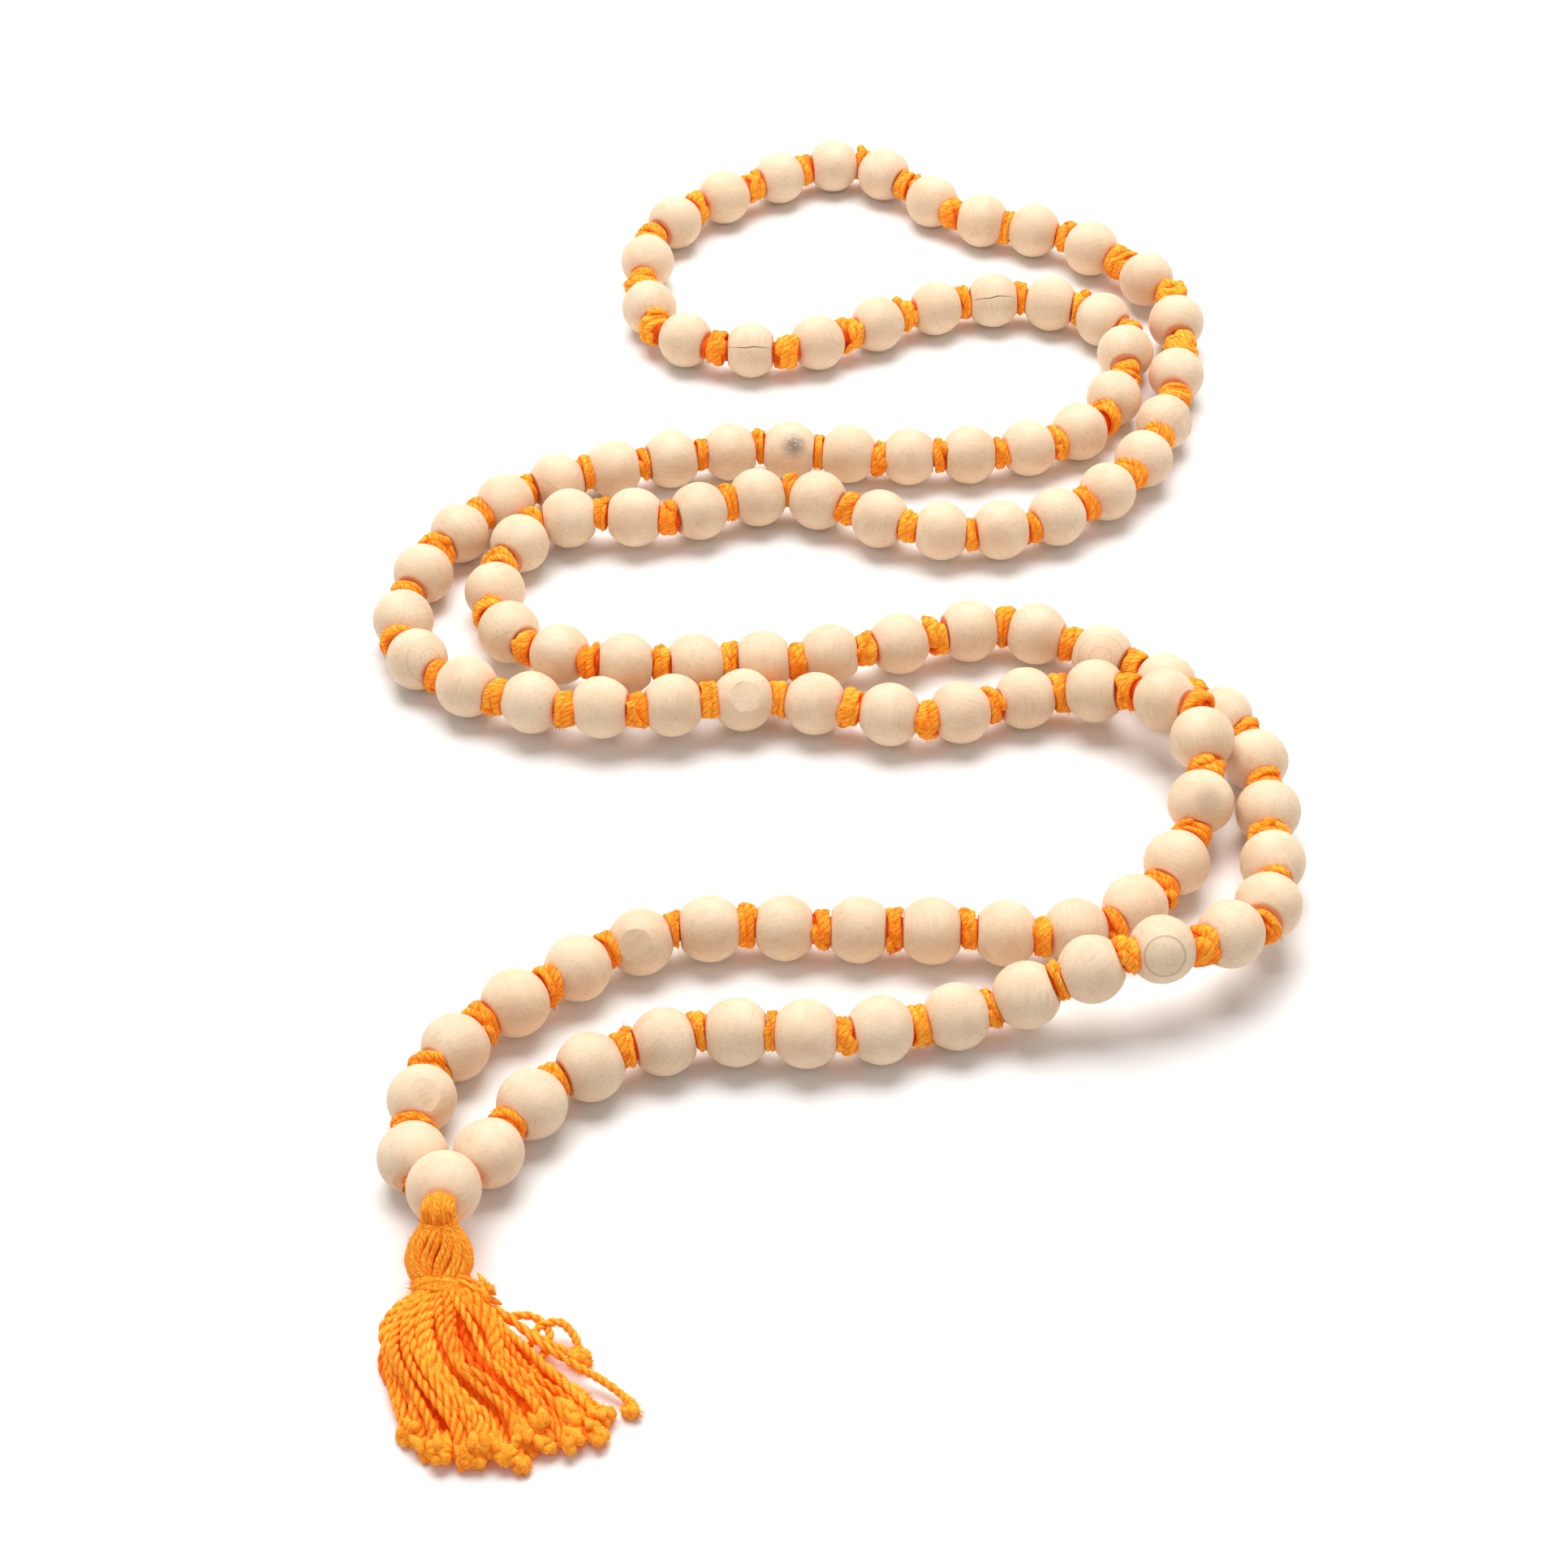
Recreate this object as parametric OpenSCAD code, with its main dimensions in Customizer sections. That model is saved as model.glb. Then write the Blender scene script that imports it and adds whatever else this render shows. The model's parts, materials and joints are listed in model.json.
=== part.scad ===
// Knotted mala: 108 wooden beads on one length of yarn, a knot between each two,
// a guru bead where the two strands meet, and a tassel. It lies folded in an S.

/* [Beads] */
// Diameter of a counting bead
bead_d = 9.9; // [9.6:0.1:9.9]
// Length of a counting bead from hole to hole
bead_len = 9.1; // [8.6:0.1:9.1]
// Diameter of the hole through every bead
bore_d = 3.0; // [2.8:0.1:3.2]
// Diameter of the guru bead
guru_d = 10.1; // [9.8:0.1:10.1]
// Length of the guru bead from hole to hole
guru_len = 9.3; // [8.8:0.1:9.3]

/* [Yarn] */
// Diameter of the stringing yarn inside the beads
yarn_d = 2.0; // [1.6:0.1:2.0]
// Width of a knot across the strand
knot_d = 5.0; // [4.0:0.2:5.0]
// Room between a knot and the beads beside it
knot_gap = 0.12; // [0.1:0.02:0.2]

/* [Tassel] */
// Diameter of the wound head
head_d = 8.2; // [7.6:0.2:8.2]
// Diameter of the neck knot below the guru bead
neck_d = 4.2; // [3.6:0.2:4.2]
// Thickness of the yarn tied round the waist
tie_d = 1.8; // [1.4:0.2:2.0]
// Thickness of the skirt where it lies on the table
skirt_t = 4.6; // [4.0:0.2:5.2]

/* [Hidden] */
$fn = 48;

// The strand's route: every second knot, as [x, y, how far the bead is lifted off the table].
// Strand A runs from the guru bead to the far end of the loop, strand B comes back.
strand_a = [
    [-55.5, -102.5, 0], [-55, -82.5, 0], [-39.5, -66.5, 0], [-22, -56.5, 0],
    [-0.5, -56, 0], [20.5, -57, 0.5], [41, -55.5, 0], [54.5, -38.5, 1],
    [56.5, -17, 6.5], [36.5, -6, 0], [16, -13, 0.5], [-7, -8, 0.5],
    [-28.5, -12, 2], [-50.5, -8, 0.5], [-67, 5, 0], [-62.5, 27.5, 0],
    [-48.5, 43, 0], [-30, 50, 0], [-10, 54, 0], [10, 52, 0],
    [30.5, 53, 0], [48.5, 61.5, 0], [54.5, 87.5, 0], [36.5, 97, 0],
    [16, 92.5, 0], [-5.5, 81.5, 0], [-28.5, 87.5, 0], [-30, 116, 0]
];
strand_b = [
    [-12, 132.5, 0], [8.5, 140.5, 0], [26, 123, 0], [45, 116.5, 0],
    [63.5, 96, 1], [61, 67, 0], [52, 46, 0.5], [34.5, 33.5, 0],
    [15, 32.5, 0.5], [-5.5, 42.5, 0], [-25, 35, 0.5], [-46.5, 34.5, 0.5],
    [-53, 11, 0], [-36, -2, 2.5], [-14.5, 0.5, 0], [6.5, 2.5, 0.5],
    [29, 9, 0], [49, -1, 0], [65, -16, 0], [66, -38.5, 0.5],
    [62, -59, 4], [41.5, -67.5, 7], [23.5, -71, 0], [2, -76.5, 0.5],
    [-17.5, -75.5, 0], [-37.5, -84.5, 0], [-48, -101.5, 0.5]
];
route = concat(strand_a, strand_b);
last = len(route) - 1;
bead_count = 2 * last;
bead_r = bead_d / 2;

// Knots that a pair of strands folds on: one on strand A, one on strand B
fold_knots = [4, 105, 14, 94, 29, 80, 43, 65, 53, 59];
// Where the yarn of one stretch stops short of a fold knot
fold_end = 1.2;
// Room round the yarn inside a knot
bore_room = 0.8;

// The guru bead lies on its two neighbours, its front hole tipped up
guru_at = [-50.8, -105.4, 8.55];
guru_tip = 25;
guru_axis = [0, -cos(guru_tip), sin(guru_tip)];
core_d = 2.4;
neck_at = guru_at + ((guru_len + neck_d) / 2 + knot_gap) * guru_axis;
// The two yarn ends squeeze between the first beads into the guru bead's back hole
leg_a = [[-52.9, -102.0, 4.3], [-51.4, -100.5, 6.0]];
leg_b = [[-50.2, -100.5, 6.0]];
leg_r = 0.4;

head_at = [-50.9, -114.6, 5.7];
stem_d = 2.8;
waist_at = [-50.6, -119.3, 5.0];
waist_r = 2.2;
waist_room = 0.1;
waist_len = 1.8;
skirt_rim = [
    [-55.5, -124.5], [-56, -132], [-51, -141], [-42, -142],
    [-33, -138], [-27.5, -134], [-35, -124.5]
];

wood = [0.93, 0.82, 0.70];
yarn = [0.96, 0.55, 0.10];

// Route point j, with one more point mirrored past each end
function raw(j) = j < 0 ? 2 * route[0] - route[1]
    : j > last ? 2 * route[last] - route[last - 1] : route[j];
function point(j) = raw(j) + [0, 0, bead_r];
// Knot i: each even one is a route point, each odd one lies on the smooth curve between
function knot(i) = i % 2 == 0 ? point(i / 2)
    : (9 * (point((i - 1) / 2) + point((i + 1) / 2))
        - point((i - 3) / 2) - point((i + 3) / 2)) / 16;
function bead_at(i) = (knot(i - 1) + knot(i)) / 2;
function bead_way(i) = knot(i) - knot(i - 1);
function unit(v) = v / norm(v);
function between(p, q, d) = p + d * unit(q - p);
function has(list, v) = len([for (x = list) if (x == v) x]) > 0;

// Turns what is drawn along +Z to run along a direction, at a place
module along(at, way) {
    translate(at)
        rotate([0, acos(way.z / norm(way)), atan2(way.y, way.x)])
            children();
}

// A ball with its two ends cut flat
module barrel(d, length) {
    intersection() {
        sphere(d = d);
        cylinder(d = d + 2, h = length, center = true);
    }
}

module drilled_bead(d, length) {
    difference() {
        barrel(d, length);
        cylinder(d = bore_d, h = length + 2, center = true);
    }
}

module bead(i) {
    color(wood)
        along(bead_at(i), bead_way(i))
            drilled_bead(bead_d, bead_len);
}

module beads(first, end) {
    for (i = [first:end]) bead(i);
}

// The room that bead i and its play take
module bead_space(i) {
    along(bead_at(i), bead_way(i))
        barrel(bead_d + 2 * knot_gap, bead_len + 2 * knot_gap);
}

// A knot fills the gap between its two beads
module plain_knot(i) {
    way = bead_at(i + 1) - bead_at(i);
    rim = sqrt(pow(bead_r + knot_gap, 2) - pow(knot_d / 2, 2));
    difference() {
        along(knot(i), way)
            cylinder(d = knot_d, h = norm(way) - 2 * rim, center = true);
        bead_space(i);
        bead_space(i + 1);
        along(knot(i), way)
            cylinder(d = yarn_d + 2 * bore_room, h = knot_d, center = true);
    }
}

// A fold knot is a short pin on the fold line, small enough for its beads to turn about it
module fold_knot(i) {
    k = search(i, fold_knots)[0];
    mate = fold_knots[k + (k % 2 == 0 ? 1 : -1)];
    to_beads = min(norm(bead_way(i)), norm(bead_way(i + 1))) / 2 - bead_len / 2;
    reach = min(to_beads, fold_end) - knot_gap;
    along(knot(i), knot(mate) - knot(i))
        cylinder(r = 0.75 * reach, h = 1.3 * reach, center = true);
}

module knots(first, end) {
    color(yarn)
        for (i = [first:end])
            if (has(fold_knots, i)) fold_knot(i);
            else plain_knot(i);
}

// One closed tube along [x, y, z, radius] rings, eight-sided
module tube(rings) {
    n = len(rings);
    sides = 8;
    function at(k) = [rings[k].x, rings[k].y, rings[k].z];
    function way(k) = unit(at(min(k + 1, n - 1)) - at(max(k - 1, 0)));
    function across(k) = unit(cross(way(k), [0, 0, 1]));
    points = [
        for (k = [0:n - 1], s = [0:sides - 1])
            let (u = across(k), w = cross(u, way(k)), a = 360 * s / sides)
                at(k) + rings[k][3] * (cos(a) * u + sin(a) * w)
    ];
    skin = [
        for (k = [0:n - 2], s = [0:sides - 1])
            let (t = (s + 1) % sides, a = k * sides, b = a + sides)
                [a + s, a + t, b + t, b + s]
    ];
    start_cap = [for (s = [sides - 1:-1:0]) s];
    end_cap = [for (s = [0:sides - 1]) (n - 1) * sides + s];
    polyhedron(points, concat([start_cap], skin, [end_cap]));
}

function ring(p, r) = [p.x, p.y, p.z, r];

// Yarn from knot first to knot end, stopping short of both
module yarn_between(first, end) {
    r = yarn_d / 2;
    color(yarn)
        tube(concat(
            [ring(between(knot(first), knot(first + 1), fold_end), r)],
            [for (i = [first + 1:end - 1]) ring(knot(i), r)],
            [ring(between(knot(end), knot(end - 1), fold_end), r)]
        ));
}

// Yarn from a fold knot to the guru bead: squeezed thin after the last bead
module yarn_to_guru(fold, step, exit, legs) {
    r = yarn_d / 2;
    lip = between(knot(exit), knot(exit - step), 0.8);
    color(yarn)
        tube(concat(
            [ring(between(knot(fold), knot(fold + step), fold_end), r)],
            [for (i = [fold + step:step:exit - step]) ring(knot(i), r)],
            [ring(lip, r), ring(knot(exit), 1.2 * leg_r)],
            [for (p = legs) ring(p, leg_r)]
        ));
}

module guru_bead() {
    color(wood)
        along(guru_at, guru_axis)
            drilled_bead(guru_d, guru_len);
}

// Both strand ends run through the guru bead side by side, pressed into one
module tassel_core() {
    color(yarn)
        along(guru_at, guru_axis)
            cylinder(d = core_d, h = guru_len, center = true);
}

module tassel_neck() {
    color(yarn) translate(neck_at) sphere(d = neck_d);
}

module tassel_head() {
    color(yarn)
        difference() {
            union() {
                translate(head_at) sphere(d = head_d);
                along(head_at, neck_at - head_at)
                    cylinder(d = stem_d, h = norm(neck_at - head_at));
            }
            translate(neck_at) sphere(d = neck_d + 2 * knot_gap);
        }
}

module tassel_tie() {
    color(yarn)
        translate(waist_at)
            rotate([90, 0, 0])
                rotate_extrude()
                    translate([waist_r + tie_d / 2 + waist_room, 0])
                        circle(d = tie_d);
}

// The skirt's gathered top runs through the tie, and its body spreads below it
module tassel_skirt() {
    top = head_at.y - head_d / 2 - waist_room;
    below_tie = waist_at.y - tie_d / 2 - waist_room;
    color(yarn) {
        translate([waist_at.x, top, waist_at.z])
            rotate([90, 0, 0])
                cylinder(r = waist_r, h = waist_len);
        hull() {
            translate([waist_at.x, below_tie, waist_at.z])
                rotate([90, 0, 0])
                    cylinder(r = waist_r, h = 0.5, $fn = 32);
            for (p = skirt_rim)
                translate([p.x, p.y, skirt_t / 2])
                    sphere(d = skirt_t, $fn = 16);
        }
    }
}

function bead_name(i) = str("bead_", i < 10 ? "00" : i < 100 ? "0" : "", i);

for (i = [1:14]) bead(i);
for (i = [54:59]) bead(i);
for (i = [95:bead_count]) bead(i);
union() { beads(15, 29); beads(81, 94); }  // beads_stretch_2
union() { beads(30, 43); beads(66, 80); }  // beads_stretch_3
union() { beads(44, 53); beads(60, 65); }  // beads_stretch_4
union() { knots(1, 3); knots(106, 107); }  // knots_guru_end
union() { knots(4, 14); knots(94, 105); }  // knots_stretch_1
union() { knots(15, 29); knots(80, 93); }  // knots_stretch_2
union() { knots(30, 43); knots(65, 79); }  // knots_stretch_3
union() { knots(44, 53); knots(59, 64); }  // knots_stretch_4
knots(54, 58);  // knots_far_loop
yarn_to_guru(4, -1, 0, leg_a);  // yarn_a_guru_end
yarn_to_guru(105, 1, 108, leg_b);  // yarn_b_guru_end
yarn_between(4, 14);  // yarn_a_stretch_1
yarn_between(94, 105);  // yarn_b_stretch_1
yarn_between(14, 29);  // yarn_a_stretch_2
yarn_between(80, 94);  // yarn_b_stretch_2
yarn_between(29, 43);  // yarn_a_stretch_3
yarn_between(65, 80);  // yarn_b_stretch_3
yarn_between(43, 53);  // yarn_a_stretch_4
yarn_between(59, 65);  // yarn_b_stretch_4
yarn_between(53, 59);  // yarn_far_loop
guru_bead();
tassel_core();
tassel_neck();
tassel_head();
tassel_tie();
tassel_skirt();
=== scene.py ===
# %% [markdown]
# # A knotted mala
# A mala is a loop of 108 wooden beads on one length of yarn, with a knot tied by hand between
# each two beads, a guru bead where the loop closes, and a tassel below it. Here it lies folded
# in a double S. The measured model gives every place and size. This script gives each piece its
# real surface: turned wood, wound yarn, twisted strands and their fluff.

import json
import math
import random

import bpy
import numpy as np
from mathutils import Matrix, Vector, noise

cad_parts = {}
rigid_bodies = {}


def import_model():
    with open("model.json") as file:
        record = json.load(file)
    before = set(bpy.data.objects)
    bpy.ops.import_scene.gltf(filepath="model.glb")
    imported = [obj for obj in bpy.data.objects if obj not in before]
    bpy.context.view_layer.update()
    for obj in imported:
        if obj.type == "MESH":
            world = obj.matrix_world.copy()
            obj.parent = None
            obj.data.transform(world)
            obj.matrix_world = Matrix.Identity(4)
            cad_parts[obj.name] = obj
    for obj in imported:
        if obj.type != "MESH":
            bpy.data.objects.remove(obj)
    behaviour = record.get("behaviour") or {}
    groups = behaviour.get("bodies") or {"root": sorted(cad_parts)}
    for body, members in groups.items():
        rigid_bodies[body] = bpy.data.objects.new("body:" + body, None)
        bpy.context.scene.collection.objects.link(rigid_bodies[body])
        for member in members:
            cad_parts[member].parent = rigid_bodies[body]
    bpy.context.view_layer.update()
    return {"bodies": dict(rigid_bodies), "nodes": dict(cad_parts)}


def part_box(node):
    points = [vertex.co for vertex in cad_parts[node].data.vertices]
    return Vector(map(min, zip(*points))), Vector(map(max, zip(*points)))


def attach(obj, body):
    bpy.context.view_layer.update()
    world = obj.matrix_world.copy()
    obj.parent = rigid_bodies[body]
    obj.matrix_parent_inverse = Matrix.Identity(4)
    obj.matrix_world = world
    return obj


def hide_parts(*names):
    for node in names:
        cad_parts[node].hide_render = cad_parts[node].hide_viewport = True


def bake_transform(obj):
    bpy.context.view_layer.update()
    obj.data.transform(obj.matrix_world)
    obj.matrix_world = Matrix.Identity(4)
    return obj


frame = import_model()
mm = 0.001

# %% [markdown]
# ## The camera
# The whole strand is seen from above at half a right angle, from almost half a metre away, with
# a long lens. A long lens keeps the near beads only a little larger than the far ones.

# %% Set up the camera
look_at = Vector((-6 * mm, -21.6 * mm, 0))
distance = 463.7 * mm
tilt = math.radians(45)
camera_data = bpy.data.cameras.new("camera")
camera_data.sensor_width = 36
camera_data.lens = 69.43
camera_data.clip_start = 10 * mm
camera = bpy.data.objects.new("camera", camera_data)
camera.rotation_euler = (tilt, 0, 0)
camera.location = look_at + distance * Vector((0, -math.sin(tilt), math.cos(tilt)))
bpy.context.scene.collection.objects.link(camera)
bpy.context.scene.camera = camera
print("camera at", [round(c, 4) for c in camera.location])

# %% [markdown]
# ## The strand's route
# The lay of the strand is a short list of points, one at every second knot, and the knots
# between lie on the smooth curve through them. Everything on the strand takes its place and its
# direction from this one route, so beads, knots and yarn can't drift apart.

# %% The route, every second knot, in metres: x, y and how far the bead is lifted
strand_a = [
    (-0.0555, -0.1025, 0), (-0.055, -0.0825, 0), (-0.0395, -0.0665, 0), (-0.022, -0.0565, 0),
    (-0.0005, -0.056, 0), (0.0205, -0.057, 0.0005), (0.041, -0.0555, 0), (0.0545, -0.0385, 0.001),
    (0.0565, -0.017, 0.0065), (0.0365, -0.006, 0), (0.016, -0.013, 0.0005),
    (-0.007, -0.008, 0.0005), (-0.0285, -0.012, 0.002), (-0.0505, -0.008, 0.0005),
    (-0.067, 0.005, 0), (-0.0625, 0.0275, 0), (-0.0485, 0.043, 0), (-0.03, 0.05, 0),
    (-0.01, 0.054, 0), (0.01, 0.052, 0), (0.0305, 0.053, 0), (0.0485, 0.0615, 0),
    (0.0545, 0.0875, 0), (0.0365, 0.097, 0), (0.016, 0.0925, 0), (-0.0055, 0.0815, 0),
    (-0.0285, 0.0875, 0), (-0.03, 0.116, 0),
]
strand_b = [
    (-0.012, 0.1325, 0), (0.0085, 0.1405, 0), (0.026, 0.123, 0), (0.045, 0.1165, 0),
    (0.0635, 0.096, 0.001), (0.061, 0.067, 0), (0.052, 0.046, 0.0005), (0.0345, 0.0335, 0),
    (0.015, 0.0325, 0.0005), (-0.0055, 0.0425, 0), (-0.025, 0.035, 0.0005),
    (-0.0465, 0.0345, 0.0005), (-0.053, 0.011, 0), (-0.036, -0.002, 0.0025),
    (-0.0145, 0.0005, 0), (0.0065, 0.0025, 0.0005), (0.029, 0.009, 0), (0.049, -0.001, 0),
    (0.065, -0.016, 0), (0.066, -0.0385, 0.0005), (0.062, -0.059, 0.004),
    (0.0415, -0.0675, 0.007), (0.0235, -0.071, 0), (0.002, -0.0765, 0.0005),
    (-0.0175, -0.0755, 0), (-0.0375, -0.0845, 0), (-0.048, -0.1015, 0.0005),
]
route = strand_a + strand_b
low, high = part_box("bead_001")
bead_r = (high[2] - low[2]) / 2
last_point = len(route) - 1
bead_count = 2 * last_point
print("route points:", len(route), "beads:", bead_count, "bead radius:", round(bead_r, 5))

# %% Knots, beads and directions from the route


def route_point(j):
    if j < 0:
        spot = 2 * Vector(route[0]) - Vector(route[1])
    elif j > last_point:
        spot = 2 * Vector(route[-1]) - Vector(route[-2])
    else:
        spot = Vector(route[j])
    return spot + Vector((0, 0, bead_r))


def knot_at(i):
    if i % 2 == 0:
        return route_point(i // 2)
    before, after = (i - 1) // 2, (i + 1) // 2
    near = route_point(before) + route_point(after)
    far = route_point(before - 1) + route_point(after + 1)
    return (9 * near - far) / 16


def bead_at(i):
    return (knot_at(i - 1) + knot_at(i)) / 2


def bead_way(i):
    return (knot_at(i) - knot_at(i - 1)).normalized()


# Each pair is one knot on strand A and one on strand B, where the strand folds
folds = [(4, 105), (14, 94), (29, 80), (43, 65), (53, 59)]
stretches = ["guru_end", "stretch_1", "stretch_2", "stretch_3", "stretch_4", "far_loop"]


def stretch_of(bead):
    return stretches[sum(a < bead <= b for a, b in folds)]


def body_of(bead):
    own = f"bead_{bead:03d}"
    return own if own in frame["bodies"] else stretch_of(bead)


def deselect():
    if bpy.context.object and bpy.context.object.mode != "OBJECT":
        bpy.ops.object.mode_set(mode="OBJECT")
    bpy.ops.object.select_all(action="DESELECT")


strand_length = sum((knot_at(i + 1) - knot_at(i)).length for i in range(bead_count))
print("strand length:", round(strand_length, 4), "m, first bead at", bead_at(1)[:])

# %% [markdown]
# ## Winding yarn
# A knot or a tassel strand is a round thread that follows a path, so one function sweeps a
# small ring along any path, keeps the ring from twisting, and remembers for every corner how
# far round and how far along the thread it lies. The threads of one piece are gathered in a
# skein and made into one mesh. Winding by a function suits yarn better than pushing faces by
# hand, because a single knot already has about a hundred threads and hairs.

# %% A skein gathers threads into one mesh
floor_gap = 0.01 * mm
tiny = 1e-12
# Each thread starts somewhere else along its fibres, so that no two look the same
fibre_step, fibre_span = 0.37, 400


def ring_frames(path):
    ways = np.gradient(path, axis=0)
    ways /= np.linalg.norm(ways, axis=1, keepdims=True) + tiny
    start = np.cross(ways[0], (0.31, 0.22, 0.93))
    side = start / np.linalg.norm(start)
    sides = []
    for way in ways:
        side = side - way * side.dot(way)
        side /= np.linalg.norm(side) + tiny
        sides.append(side)
    sides = np.array(sides)
    return ways, sides, np.cross(ways, sides)


class Skein:
    """Threads on their way to become one piece."""

    def __init__(self):
        self.spots, self.faces, self.wraps, self.dye_and_shade = [], [], [], []
        self.count = 0

    def thread(self, path, radius, around=6, tone=0.5, away=None):
        path = np.asarray(path, float)
        n = len(path)
        radius = np.broadcast_to(np.asarray(radius, float), n)
        ways, sides, ups = ring_frames(path)
        angle = np.arange(around) * 2 * math.pi / around
        cos, sin = np.cos(angle)[None, :, None], np.sin(angle)[None, :, None]
        ring = sides[:, None] * cos + ups[:, None] * sin
        spots = path[:, None] + ring * radius[:, None, None]
        steps = np.linalg.norm(np.diff(path, axis=0), axis=1)
        along = np.concatenate([[0], np.cumsum(steps)]) / mm
        along = along + self.count * fibre_step % fibre_span
        self.spots.append(spots.reshape(-1, 3))
        # With an away direction, each thread is painted darker on the side that faces in and lighter
        # on the side that faces out, as painted shade; this is multiplied into its tone.
        share = np.full((n, around), 1.0)
        if away is not None:
            away = away / (np.linalg.norm(away, axis=1, keepdims=True) + tiny)
            share = np.clip(0.5 + 0.6 * np.einsum("nkc,nc->nk", ring, away), 0, 1)
        self.dye_and_shade.append((tone * share).ravel())
        j, k = np.meshgrid(np.arange(n - 1), np.arange(around), indexing="ij")
        j, k = j.ravel(), k.ravel()
        beside = (k + 1) % around
        near, far = j * around, (j + 1) * around
        quads = np.column_stack([near + k, near + beside, far + beside, far + k])
        self.faces += (quads + self.count).tolist()
        u0, u1 = k / around, (k + 1) / around
        v0, v1 = along[j], along[j + 1]
        corners = ((u0, v0), (u1, v0), (u1, v1), (u0, v1))
        wraps = np.stack([np.column_stack(corner) for corner in corners], axis=1)
        self.wraps.append(wraps.reshape(-1, 2))
        first, last = np.arange(around)[::-1], (n - 1) * around + np.arange(around)
        self.faces += [(first + self.count).tolist(), (last + self.count).tolist()]
        for end in (along[0], along[-1]):
            self.wraps.append(np.column_stack([np.linspace(0, 1, around), np.full(around, end)]))
        self.count += n * around

    def bend(self, change):
        self.spots = [change(spots) for spots in self.spots]

    def piece(self, name):
        mesh = bpy.data.meshes.new(name)
        spots = np.concatenate(self.spots)
        spots[:, 2] = np.maximum(spots[:, 2], floor_gap)
        mesh.from_pydata(spots.tolist(), [], self.faces)
        layer = mesh.uv_layers.new(name="twine")
        layer.data.foreach_set("uv", np.concatenate(self.wraps).ravel())
        # The tone attribute holds each thread's random depth of dye times its painted shade.
        tone = mesh.attributes.new("tone", "FLOAT", "POINT")
        tone.data.foreach_set("value", np.concatenate(self.dye_and_shade))
        mesh.shade_smooth()
        obj = bpy.data.objects.new(name, mesh)
        bpy.context.scene.collection.objects.link(obj)
        return obj


def smooth_path(points, count):
    """A path of evenly spread points on the smooth curve through a few."""
    points = np.asarray(points, float)
    full = np.vstack([2 * points[0] - points[1], points, 2 * points[-1] - points[-2]])
    spots = []
    for t in np.linspace(0, len(points) - 1 - 1e-9, count):
        n = int(t)
        f = t - n
        p0, p1, p2, p3 = full[n : n + 4]
        cubic = 3 * (p1 - p2) + p3 - p0
        square = 2 * p0 - 5 * p1 + 4 * p2 - p3
        spots.append(p1 + 0.5 * f * (p2 - p0 + f * (square + f * cubic)))
    return np.array(spots)


# %% Fine hairs that stand off the yarn
hair_r = 0.028 * mm
hair_taper = np.array([1.0, 0.9, 0.8, 0.5])


def add_hair(skein, root, way, length, chance, thick=1.0):
    way = np.asarray(way, float)
    way /= np.linalg.norm(way)
    spots = [np.asarray(root, float)]
    step = length / 3
    for _ in range(3):
        way = way + np.array([chance.gauss(0, 0.45) for _ in range(3)])
        way /= np.linalg.norm(way)
        spots.append(spots[-1] + way * step)
    skein.thread(spots, hair_r * thick * hair_taper, around=3, tone=chance.uniform(0.45, 0.9))


# %% [markdown]
# ## The stringing yarn
# Inside the beads the yarn is one soft bundle, thinner than the hole, swept along the route as
# a single thick thread. The strand folds on five lines across it, so there is one length of
# yarn for each strand between two folds, and each moves with its own stretch. Two short legs
# squeeze side by side into the guru bead.

# %% Lay the yarn inside the beads
yarn_r = 1.0 * mm
hole_r = 1.3 * mm
fold_end = 1.2 * mm


def from_knot(i, neighbour, away):
    return knot_at(i) + (knot_at(neighbour) - knot_at(i)).normalized() * away


def lay_yarn(name, points, radii, body):
    rows = 5 * (len(points) - 1) + 1
    path = smooth_path(points, rows)
    girth = np.interp(np.linspace(0, 1, rows), np.linspace(0, 1, len(points)), radii)
    skein = Skein()
    skein.thread(path, girth, around=10, tone=0.7)
    twine = skein.piece(f"{name}_twine")
    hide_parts(name)
    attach(twine, body)
    return twine


def yarn_between(name, first, end, body):
    points = [from_knot(first, first + 1, fold_end)]
    points += [knot_at(i) for i in range(first + 1, end)]
    points += [from_knot(end, end - 1, fold_end)]
    return lay_yarn(name, points, [yarn_r] * len(points), body)


yarns = []
for n in range(1, 5):
    (a_start, b_end), (a_end, b_start) = folds[n - 1], folds[n]
    body = stretches[n]
    yarns.append(yarn_between(f"yarn_a_{body}", a_start, a_end, body))
    yarns.append(yarn_between(f"yarn_b_{body}", b_start, b_end, body))
yarns.append(yarn_between("yarn_far_loop", *folds[-1], "far_loop"))

# %% The two ends that squeeze into the guru bead
leg_r = 0.4 * mm
leg_a = [Vector((-0.0529, -0.102, 0.0043)), Vector((-0.0514, -0.1005, 0.006))]
leg_b = [Vector((-0.0502, -0.1005, 0.006))]


def yarn_to_guru(name, fold, step, way_out, legs):
    points = [from_knot(fold, fold + step, fold_end)]
    points += [knot_at(i) for i in range(fold + step, way_out, step)]
    radii = [yarn_r] * len(points) + [hole_r, hole_r] + [leg_r] * len(legs)
    points += [from_knot(way_out, way_out - step, 0.8 * mm), knot_at(way_out)] + legs
    return lay_yarn(name, points, radii, "guru_end")


yarns.append(yarn_to_guru("yarn_a_guru_end", folds[0][0], -1, 0, leg_a))
yarns.append(yarn_to_guru("yarn_b_guru_end", folds[0][1], 1, bead_count, leg_b))

# %% [markdown]
# ## Turned beads
# Each bead is turned from a thin rod of pale wood, drilled, and tumbled smooth. None is a true
# ball: the ends are cut flat where the drill went in, some ends are dished, and each one is a
# little lumpy. One ball is cut, drilled and rounded by hand-like steps, and a few patterns with
# different ends are enough, because each bead is placed with its own turn and its own grain.

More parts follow.
